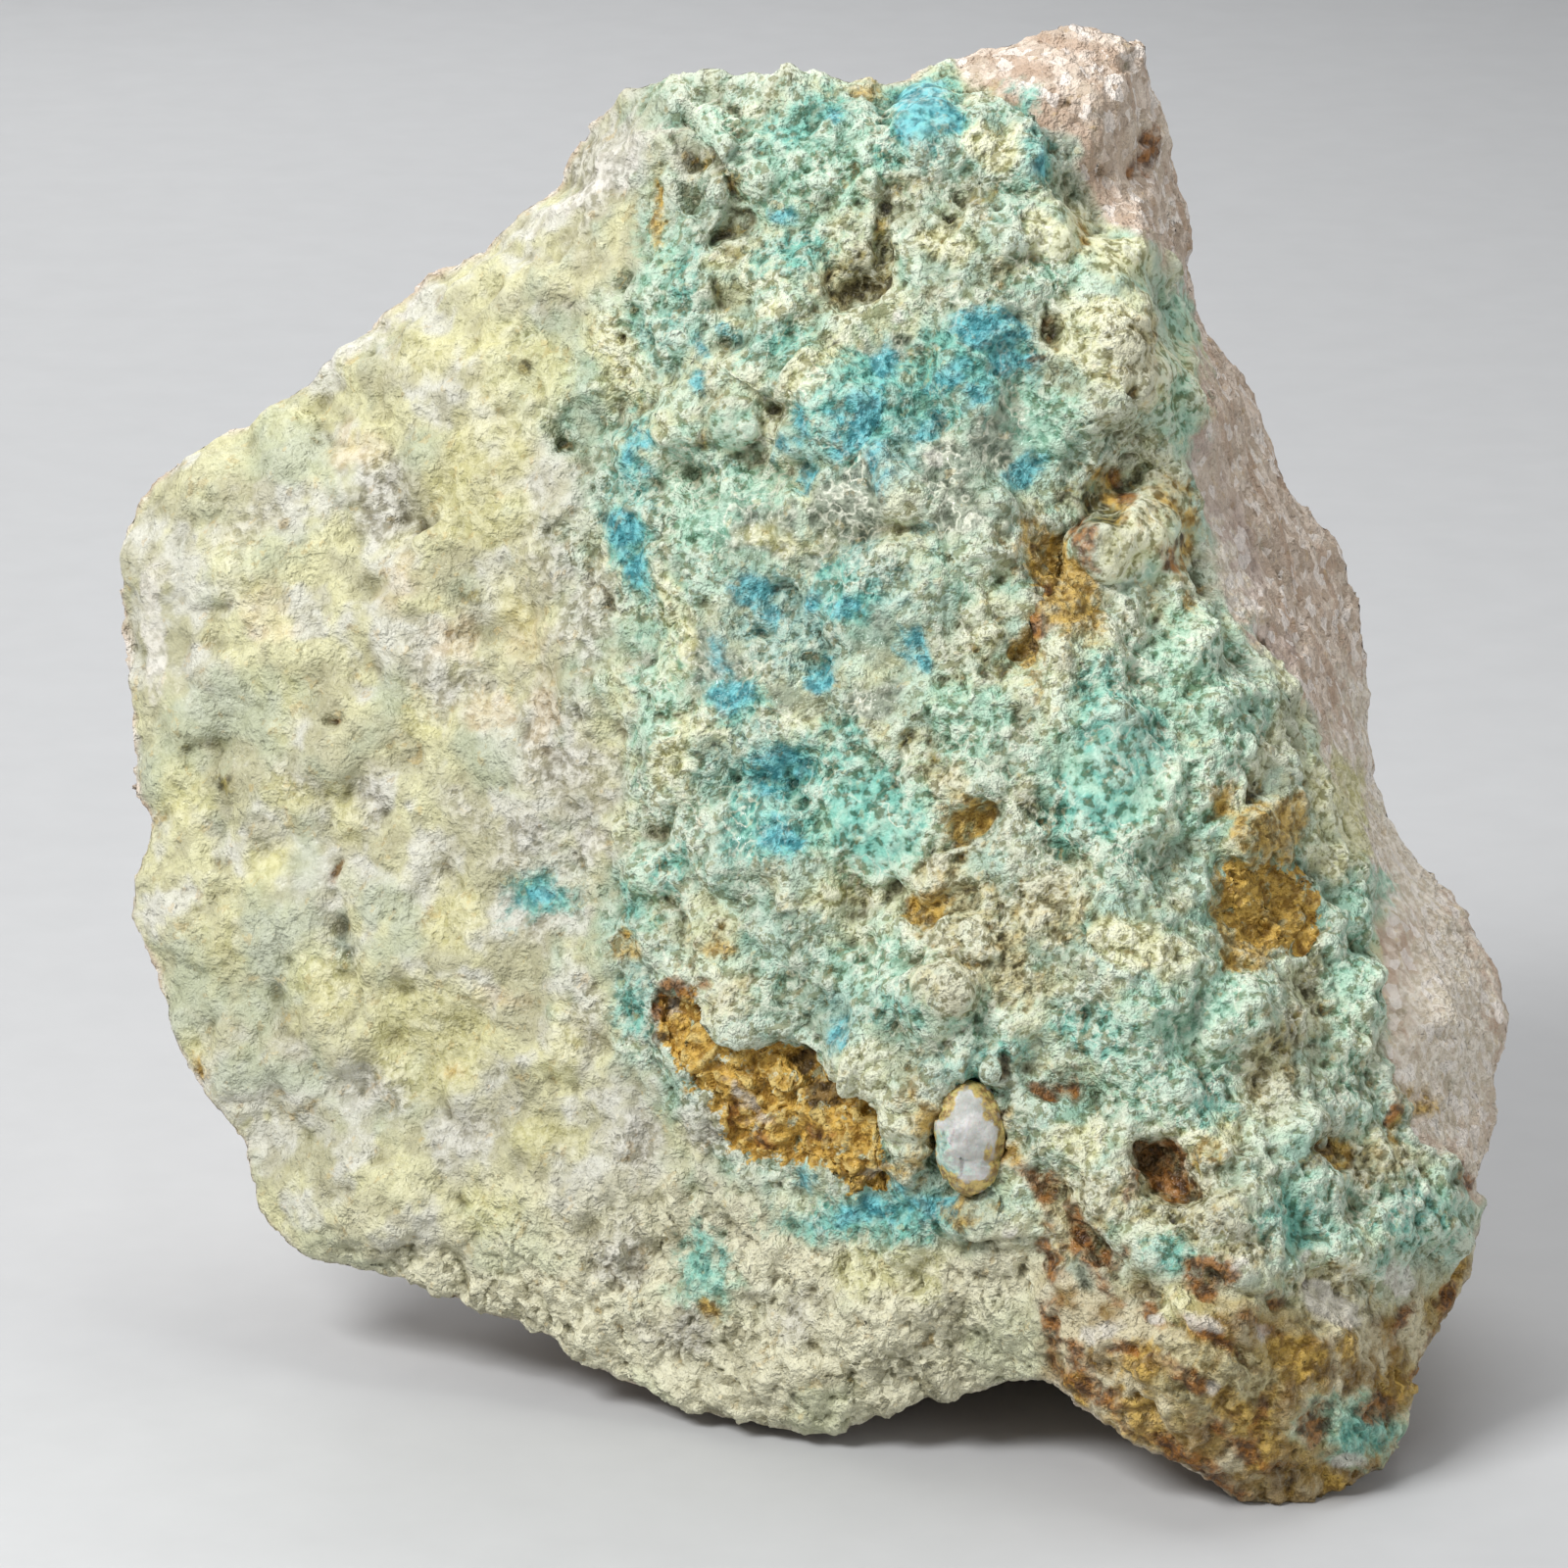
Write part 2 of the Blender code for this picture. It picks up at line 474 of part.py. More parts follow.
def make_stone(rim_loop, net, back_net, crust_loop, crust_floor):
    """The block of quartzite, with the bed of the crust sunk into its front."""
    step = offset(crust_loop, STEP_IN)
    loops = [rim_loop, step, crust_loop]
    open_points = scatter(rim_loop, STONE_SPACING, loops, 11)
    open_points = open_points[~inside(open_points, step)]
    bed_points = scatter(crust_loop, BED_SPACING, [crust_loop], 12)
    flat, faces = triangulate(loops, np.vstack([open_points, bed_points]))
    depth = front_depth(net, flat)
    depth[: len(rim_loop)] = rim_loop[:, 2]
    down = inside(flat, offset(crust_loop, STEP_IN / 2))
    depth[down] = crust_floor(flat[down])

    back_edge = rim_loop[:, :2] * BACK_SHRINK
    back_flat, back_faces = triangulate([back_edge], scatter(back_edge, BACK_SPACING, [back_edge], 13))
    back_depth = net_depth(back_net, back_flat)
    back_points = np.column_stack([back_flat, back_depth])
    back_depth += BACK_DENT * fracture(back_points, BACK_FACET, 5)
    back_depth += bumps(back_flat, BACK_SWELL, 3, 5)

    front = [place(x, h, d) for (x, h), d in zip(flat, depth)]
    back = [place(x, h, d) for (x, h), d in zip(back_flat, back_depth)]
    rings = []
    for row in range(WALL_ROWS):
        share = (row + 1) / (WALL_ROWS + 1)
        taper = 1.0 - (1.0 - BACK_SHRINK) * share**WALL_TAPER
        deep = rim_loop[:, 2] * (1 - share) + back_depth[: len(rim_loop)] * share
        straight = np.column_stack([rim_loop[:, :2] * taper, deep])
        dent = 0.5 + 0.5 * fracture(straight, WALL_FACET, 2)
        dent += bumps(rim_loop, WALL_GRAIN, 2, 20 + row)
        dent = np.clip(dent, 0.0, 1.2) * WALL_DENT * math.sin(math.pi * share)
        reach = np.hypot(straight[:, 0], straight[:, 1])
        across = straight[:, :2] * (1.0 - dent / reach)[:, None]
        rings.append([place(x, h, d) for (x, h), d in zip(across, deep)])
    vertices, solid_faces = closed_body(front, faces, back, back_faces, rings)
    stone = mesh_object("quartzite", vertices, solid_faces)
    flatten_foot(stone)
    return stone


def grain_bed():
    """The oval bed of the grain, clockwise, a little wider than the grain."""
    turn = np.linspace(2 * math.pi, 0.0, 16, endpoint=False)
    half_width, half_height, _ = GRAIN_SIZE
    x = GRAIN_CENTRE[0] + (half_width * BLUNT + GAP) * np.cos(turn)
    h = GRAIN_CENTRE[1] + (half_height * BLUNT + GAP) * np.sin(turn)
    return np.column_stack([x, h])


def grain_depth(net):
    """Depth of the middle of the grain."""
    return float(net_depth(net, np.array([GRAIN_CENTRE]))[0]) - GRAIN_RISE


def make_grain(net, name="quartz_grain"):
    """The pale oval grain: a worn crystal, blunt at both ends, half sunk in the crust."""
    x, h = GRAIN_CENTRE
    depth = grain_depth(net)
    shape = bmesh.new()
    bmesh.ops.create_uvsphere(shape, u_segments=14, v_segments=9, radius=1.0)
    half_width, half_height, half_thick = GRAIN_SIZE
    for vertex in shape.verts:
        around = vertex.co.copy()
        blunt = 1.0 + (BLUNT - 1.0) * noise.noise(around * 1.7 + Vector((3.0, 1.0, 0.0)))
        across, up, deep = around * blunt
        vertex.co = place(x + across * half_width, h + up * half_height, depth + deep * half_thick)
    bmesh.ops.recalc_face_normals(shape, faces=shape.faces)
    vertices = [v.co.copy() for v in shape.verts]
    faces = [[v.index for v in f.verts] for f in shape.faces]
    shape.free()
    grain = mesh_object(name, vertices, faces)
    grain.data.shade_smooth()
    return grain


# ------------------------------------------------------------------------------- assembly
def remove_everything():
    for item in list(bpy.data.objects):
        bpy.data.objects.remove(item, do_unlink=True)


def centre_on_base(pieces):
    """Moves all the vertices so that the origin is the bottom centre of the whole."""
    corners = np.array([v.co for piece in pieces for v in piece.data.vertices])
    middle = (corners.min(axis=0) + corners.max(axis=0)) / 2
    for piece in pieces:
        piece.data.transform(Matrix.Translation((-middle[0], -middle[1], 0.0)))
    size = corners.max(axis=0) - corners.min(axis=0)
    print("size mm", np.round(size / MM, 2), "lowest mm", round(corners[:, 2].min() / MM, 3))
    print("moved by mm", np.round(middle[:2] / MM, 3))


def main():
    remove_everything()
    knots = LEFT_FACE + CRUST_FACE + FOOT_ZONE + LOBE + CRUST_EDGE + SIDE_FACE
    net = make_net(OUTLINE, knots)
    back_rim = [(x, h, 12.6 + 0.15 * x - 0.07 * h) for x, h, d in OUTLINE]
    back_net = make_net(back_rim, BACK_FACE)
    rim_loop = resample(OUTLINE, 1.1)
    crust_loop = resample(CRUST_BED, 1.0)

    bed = make_bed(net, crust_loop)

    def crust_floor(points):
        return bed(points, CRUST_THICK)

    def crust_front(points):
        return front_depth(net, points) - CRUST_PROUD

    def limonite_floor(points):
        return bed(points, LIMONITE_THICK)

    def limonite_front(points):
        return front_depth(net, points) + LIMONITE_SUNK - bumps(points, CRUMBLE, 3, 8)

    def grain_floor(points):
        return np.full(len(points), grain_depth(net) + GRAIN_SIZE[2] * BLUNT + GAP)

    beds = {name: resample(loop, 0.8) for name, loop in LIMONITE_BEDS.items()}
    inner = [(loop, limonite_floor) for loop in beds.values()]
    inner.append((grain_bed(), grain_floor))
    pieces = [
        make_stone(rim_loop, net, back_net, crust_loop, crust_floor),
        inlay_solid(
            "mansfieldite_crust", crust_loop, crust_front, crust_floor,
            CRUST_SPACING, BED_SPACING, inner, 31,
        ),
    ]
    for name, loop in beds.items():
        pieces.append(
            inlay_solid(name, loop, limonite_front, limonite_floor, PATCH_SPACING, 1.0, [], 41)
        )
    pieces.append(make_grain(net))
    centre_on_base(pieces)
    for piece in pieces:
        print(piece.name, len(piece.data.polygons), "triangles")


main()
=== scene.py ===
# %% [markdown]
# # Mansfieldite on quartzite
# A hand specimen is mostly surface: sugary quartz, a crumbly crust, thin films of colour. The solids
# of the frame give the true size and the broad lumps. This lesson pulls one fine skin over them,
# roughens it the way each mineral grows, cuts it into pieces and gives them their finish.
# All shaping is done in millimetres, because Blender's tools like numbers near one.

# %% The frame
import math

import bmesh
import bpy
import numpy as np
from mathutils import Euler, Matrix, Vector
from mathutils.bvhtree import BVHTree


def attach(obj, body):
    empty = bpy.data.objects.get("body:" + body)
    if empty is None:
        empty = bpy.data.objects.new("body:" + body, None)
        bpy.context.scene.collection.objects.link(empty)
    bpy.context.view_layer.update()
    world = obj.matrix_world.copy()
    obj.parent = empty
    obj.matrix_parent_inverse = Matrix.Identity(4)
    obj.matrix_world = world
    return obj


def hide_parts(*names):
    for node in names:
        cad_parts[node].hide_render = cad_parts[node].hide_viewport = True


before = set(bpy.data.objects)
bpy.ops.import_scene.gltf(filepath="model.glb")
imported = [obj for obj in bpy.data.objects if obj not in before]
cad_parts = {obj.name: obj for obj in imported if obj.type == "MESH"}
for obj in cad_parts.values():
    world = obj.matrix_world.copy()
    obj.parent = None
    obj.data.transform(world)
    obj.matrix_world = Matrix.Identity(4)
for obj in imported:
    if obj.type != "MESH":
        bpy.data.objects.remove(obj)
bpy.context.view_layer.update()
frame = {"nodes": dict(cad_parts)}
MM = 0.001
print("solids:", ", ".join(frame["nodes"]))

# %% [markdown]
# ## Where things are on the face
# The front leans back, so world coordinates are awkward for placing a blue patch or a crevice. The
# face frame is easier: x across the face, h up it and d into the stone, all from the middle of the
# face. It is a frame in perspective: what lies deeper is spread a little wider, so that a place
# keeps its x and h for an eye at SIGHT in front of the face.

# %% The face frame
LEAN = math.radians(17.0)
SIGHT = 260.0
FACE_MIDDLE = np.array([0.170, -3.383, 21.0])
OUTWARD = np.array([0.0, -math.cos(LEAN), math.sin(LEAN)])


def on_face(points):
    """World points in mm as x, h and d of the face frame."""
    x, y, z = (points - FACE_MIDDLE).T
    d = y * math.cos(LEAN) - z * math.sin(LEAN)
    h = y * math.sin(LEAN) + z * math.cos(LEAN)
    spread = 1.0 + d / SIGHT
    return np.column_stack([x / spread, h / spread, d])


def off_face(x, h, d):
    """A point of the face frame as a world point in mm."""
    spread = 1.0 + d / SIGHT
    y = d * math.cos(LEAN) + h * spread * math.sin(LEAN)
    z = h * spread * math.cos(LEAN) - d * math.sin(LEAN)
    return FACE_MIDDLE + np.array([x * spread, y, z])


# %% [markdown]
# ## Noise by hand
# Blender has noise nodes, but a mesh can only be pushed by numbers we hold, so a few small noises
# are written in numpy. Soft noise makes swells. Cells give each place a nearest seed point, which
# makes round grains, flat crystal facets and the narrow gaps between them.

# %% Soft noise and cells
TABLE = np.random.default_rng(5).random((4096, 4)).astype(np.float32)
TURN = np.array(Euler((0.7, 0.5, 0.9)).to_matrix())


def lookup(cell, seed):
    """Four steady random numbers for each whole-numbered cell."""
    mixed = (cell[:, 0] * 73856093) ^ (cell[:, 1] * 19349663) ^ (cell[:, 2] * 83492791)
    mixed = mixed ^ (seed * 2654435)
    return TABLE[(mixed ^ (mixed >> 13)) & 4095]


def soft(points, size, seed=0):
    """Smooth noise from -1 to 1 with swells of the given size."""
    at = points / size
    low = np.floor(at).astype(np.int64)
    share = at - low
    share = share * share * (3.0 - 2.0 * share)
    total = np.zeros(len(points))
    for step in np.ndindex(2, 2, 2):
        weight = np.prod(np.where(step, share, 1.0 - share), axis=1)
        total += weight * lookup(low + np.array(step), seed)[:, 0]
    return 2.0 * total - 1.0


def rough(points, size, octaves, seed=0, fall=0.55):
    """Several soft noises, each half the size of the last and turned against it."""
    total, weight = np.zeros(len(points)), 1.0
    for octave in range(octaves):
        points = points @ TURN
        total += weight * soft(points, size / 2**octave, seed + octave * 11)
        weight *= fall
    return total


def billow(points, size, octaves, seed=0, fall=0.5):
    """Round mounds with narrow branching valleys: 0 in the valleys, about 1 on the mounds."""
    total, weight = np.zeros(len(points)), 1.0
    for octave in range(octaves):
        points = points @ TURN
        swell = soft(points, size / 2**octave, seed + octave * 11)
        total += weight * (np.sqrt(swell**2 + 0.02) - 0.14)
        weight *= fall
    return 1.7 * total


def cells(points, size, seed=0):
    """For each point: how far its nearest seed is, in cells, the way from it, and its numbers."""
    at = points / size
    home = np.floor(at).astype(np.int64)
    nearest = np.full(len(points), 9.0)
    away = np.zeros_like(at)
    numbers = np.zeros((len(points), 4))
    for step in np.ndindex(3, 3, 3):
        cell = home + np.array(step) - 1
        random = lookup(cell, seed)
        way = at - cell - random[:, :3]
        squared = (way * way).sum(axis=1)
        closer = squared < nearest
        nearest[closer] = squared[closer]
        away[closer] = way[closer]
        numbers[closer] = random[closer]
    return np.sqrt(nearest), away, numbers


def facets(points, size, seed=0):
    """Broken crystal grains: each cell is a plane with a tilt of its own, about -1 to 1."""
    nearest, away, numbers = cells(points, size, seed)
    tilt = numbers[:, [1, 2, 3]] - 0.5
    return 2.2 * (away * tilt).sum(axis=1) + 0.5 * (numbers[:, 0] - 0.5)


def grains(points, size, seed=0):
    """Round grains, 0 in the gaps and 1 on the crowns, with some grains larger than others."""
    nearest, away, numbers = cells(points, size, seed)
    radius = 0.55 + 0.35 * numbers[:, 3]
    return np.sqrt(np.clip(1.0 - (nearest / radius) ** 2, 0.0, 1.0)) * (0.5 + 0.5 * numbers[:, 3])


def ramp(value, low, high):
    """0 below low, 1 above high and a smooth rise between."""
    share = np.clip((value - low) / (high - low), 0.0, 1.0)
    return share * share * (3.0 - 2.0 * share)


# %% [markdown]
# ## One skin over all the solids
# The solids are separate and faceted, with thin gaps between them. A natural crust has no such
# gaps. The solids are swollen a little so that they meet, melted together by a voxel remesh and
# smoothed, which leaves one even net of small squares that fine relief can be pressed into.

# %% Melting the solids together
# The side of the net's squares, and how far the solids are swollen.
VOXEL = 0.22
SWELL = 0.17
SKINNED = ["quartzite", "mansfieldite_crust", "limonite_centre", "limonite_right"]


def solid_shape(names):
    """The named solids of the frame as one bmesh, in mm."""
    shape = bmesh.new()
    for name in names:
        shape.from_mesh(frame["nodes"][name].data)
    bmesh.ops.remove_doubles(shape, verts=shape.verts, dist=1e-6)
    bmesh.ops.scale(shape, verts=shape.verts, vec=(1 / MM, 1 / MM, 1 / MM))
    shape.normal_update()
    return shape


def with_modifiers(mesh, *settings):
    """The mesh after the given modifiers; each setting is a type and its values."""
    holder = bpy.data.objects.new("holder", mesh)
    bpy.context.collection.objects.link(holder)
    for kind, values in settings:
        modifier = holder.modifiers.new(kind, kind)
        for key, value in values.items():
            setattr(modifier, key, value)
    bpy.context.view_layer.update()
    seen = holder.evaluated_get(bpy.context.evaluated_depsgraph_get())
    result = bpy.data.meshes.new_from_object(seen)
    bpy.data.objects.remove(holder)
    return result


def swollen_mesh():
    shape = solid_shape(SKINNED)
    for vertex in shape.verts:
        vertex.co += vertex.normal * SWELL
    mesh = bpy.data.meshes.new("swollen")
    shape.to_mesh(mesh)
    shape.free()
    return mesh


skin = with_modifiers(
    swollen_mesh(),
    ("REMESH", {"mode": "VOXEL", "voxel_size": VOXEL, "adaptivity": 0.0}),
    ("SMOOTH", {"factor": 0.5, "iterations": 8}),
)
print("skin:", len(skin.vertices), "points")

# %% [markdown]
# ## Which mineral is where
# Each point of the skin is measured against every solid. Close to the crust it is crust, and so on.
# The measures ride along as attributes, so that subdividing the skin keeps them.

# %% Measuring the skin against the solids


def read_vectors(mesh, source="vertices"):
    values = np.empty(len(mesh.vertices) * 3, np.float32)
    if source == "vertices":
        mesh.vertices.foreach_get("co", values)
    else:
        mesh.vertex_normals.foreach_get("vector", values)
    return values.reshape(-1, 3).astype(float)


def write_values(mesh, name, values):
    attribute = mesh.attributes.new(name, "FLOAT", "POINT")
    attribute.data.foreach_set("value", np.asarray(values, np.float32))


def read_values(mesh, name):
    values = np.empty(len(mesh.vertices), np.float32)
    mesh.attributes[name].data.foreach_get("value", values)
    return values.astype(float)


def distances(points, name):
    """Distance in mm from each point to the surface of one solid."""
    shape = solid_shape([name])
    tree = BVHTree.FromBMesh(shape)
    found = np.array([tree.find_nearest(Vector(p))[3] for p in points])
    shape.free()
    return found


def quads_of(mesh):
    corners = np.empty(len(mesh.loops), np.int32)
    mesh.loops.foreach_get("vertex_index", corners)
    return corners.reshape(-1, 4)


skin_points = read_vectors(skin)
for solid in SKINNED:
    write_values(skin, "to_" + solid, distances(skin_points, solid))

# %% [markdown]
# ## Front and back
# Only the front gets the finest net: its squares are halved once more. The back keeps the coarser
# one, because nobody reads it from a finger's width away. The back runs one row under the front,
# so that no light shows between them.

# %% Parting front from back
# A face belongs to the front when the skin around it leans outward more than this.
FRONT_FROM = -0.05


def taken(mesh, quads, name):
    """The chosen faces of a mesh as a mesh of their own, with the attributes."""
    used, corners = np.unique(quads, return_inverse=True)
    part = bpy.data.meshes.new(name)
    part.vertices.add(len(used))
    part.vertices.foreach_set("co", read_vectors(mesh)[used].astype(np.float32).ravel())
    part.loops.add(corners.size)
    part.loops.foreach_set("vertex_index", corners.astype(np.int32).ravel())
    part.polygons.add(len(quads))
    part.polygons.foreach_set("loop_start", np.arange(0, corners.size, 4, dtype=np.int32))
    part.update(calc_edges=True)
    for attribute in mesh.attributes:
        if attribute.data_type == "FLOAT" and attribute.domain == "POINT":
            write_values(part, attribute.name, read_values(mesh, attribute.name)[used])
    return part


def links_of(mesh):
    """Both ends of every edge, and how many edges meet at each point."""
    edges = np.empty(len(mesh.edges) * 2, np.int32)
    mesh.edges.foreach_get("vertices", edges)
    return edges[0::2], edges[1::2], np.bincount(edges, minlength=len(mesh.vertices))


def evened(values, links, turns):
    """Values at the points, each drawn some turns over towards the mean of its neighbours."""
    a, b, count = links
    for _ in range(turns):
        near = np.bincount(a, values[b], len(count)) + np.bincount(b, values[a], len(count))
        values = 0.3 * values + 0.7 * near / count
    return values


skin_normals = read_vectors(skin, "normals")
for axis, name in enumerate(("out_x", "out_y", "out_z")):
    write_values(skin, name, skin_normals[:, axis])
quads = quads_of(skin)
lean_out = evened(skin_normals @ OUTWARD, links_of(skin), 25)
write_values(skin, "facing", ramp(lean_out + 0.10 * rough(skin_points, 5.0, 2, 90), -0.15, 0.35))
is_front = lean_out[quads].mean(axis=1) > FRONT_FROM
ring = np.zeros(len(skin.vertices), bool)
ring[quads[~is_front]] = True
under = ring[quads].any(axis=1)
back = taken(skin, quads[under | ~is_front], "back")
front = taken(skin, quads[is_front], "front")
fine = with_modifiers(front, ("SUBSURF", {"levels": 1, "render_levels": 1}))
print("front:", len(fine.vertices), "points, back:", len(back.vertices), "points")

# %% [markdown]
# ## Regions
# The face has five grounds: the green crust, the yellow-white film of the left, the grey sugary
# quartz of the foot, the tan lobe low on the right and the bare pinkish quartzite of the sides and
# back. Their borders are lines on the face, frayed with noise, because a mineral never stops in a
# clean line.

# %% Borders of the grounds
# The left and the right border give x for each h, the low one gives h for each x.
LEFT_BORDER = (
    [-16.0, -13.5, -10.0, -8.0, -5.5, -3.5, -1.0, 3.0, 6.0, 8.5, 11.0, 14.5, 17.0, 22.0],
    [-0.5, -3.0, -5.4, -6.3, -7.2, -6.6, -5.8, -5.8, -6.8, -7.8, -7.6, -7.0, -5.2, -4.8],
)
LOW_BORDER = (
    [-7.0, -6.0, -4.0, 0.0, 3.0, 6.0, 8.0, 11.0, 14.0, 18.0, 22.0],
    [-9.0, -10.4, -12.6, -14.6, -15.3, -14.4, -15.2, -16.2, -16.8, -17.0, -15.0],
)
RIGHT_BORDER = (
    [-30.0, -16.0, -13.5, -11.5, -9.3, -4.0, -2.6, -0.6, 1.4, 2.6, 4.5, 6.5, 8.0, 10.0, 12.5, 14.0,
     16.6, 17.5, 18.7, 20.2, 22.0, 24.0],
    [40.0, 24.0, 20.6, 18.9, 18.0, 18.0, 17.0, 16.4, 15.7, 14.8, 13.4, 12.7, 12.3, 11.5, 12.4, 11.8,
     10.7, 9.3, 8.4, 7.7, 4.4, 3.0],
)


def grounds(face, bent, facing, fray):
    """The share of each ground at each point, from its place on the face and its bent place."""
    x, h = bent[:, 0], bent[:, 1]
    green = ramp(x - np.interp(h, *LEFT_BORDER) + 1.8 * fray, -1.9, 2.0)
    green *= ramp(h - np.interp(x, *LOW_BORDER) + 0.6 * fray, -1.2, 1.2)
    side = ramp(face[:, 0] - np.interp(face[:, 1], *RIGHT_BORDER) + 0.4 * fray, -0.2, 0.5)
    lobe = ramp(x - 7.4 + 0.5 * fray, -0.8, 0.8) * (1.0 - ramp(h + 16.0 + 0.7 * fray, -1.2, 1.2))
    sugar = ramp(-h - 12.0 - 0.25 * np.abs(x + 1.0) + 1.2 * fray, -2.0, 2.0) * (1.0 - lobe)
    bare = np.maximum(side, 1.0 - facing)
    green *= 1.0 - side
    return {"green": green * facing, "lobe": lobe * facing, "sugar": sugar * facing, "bare": bare}
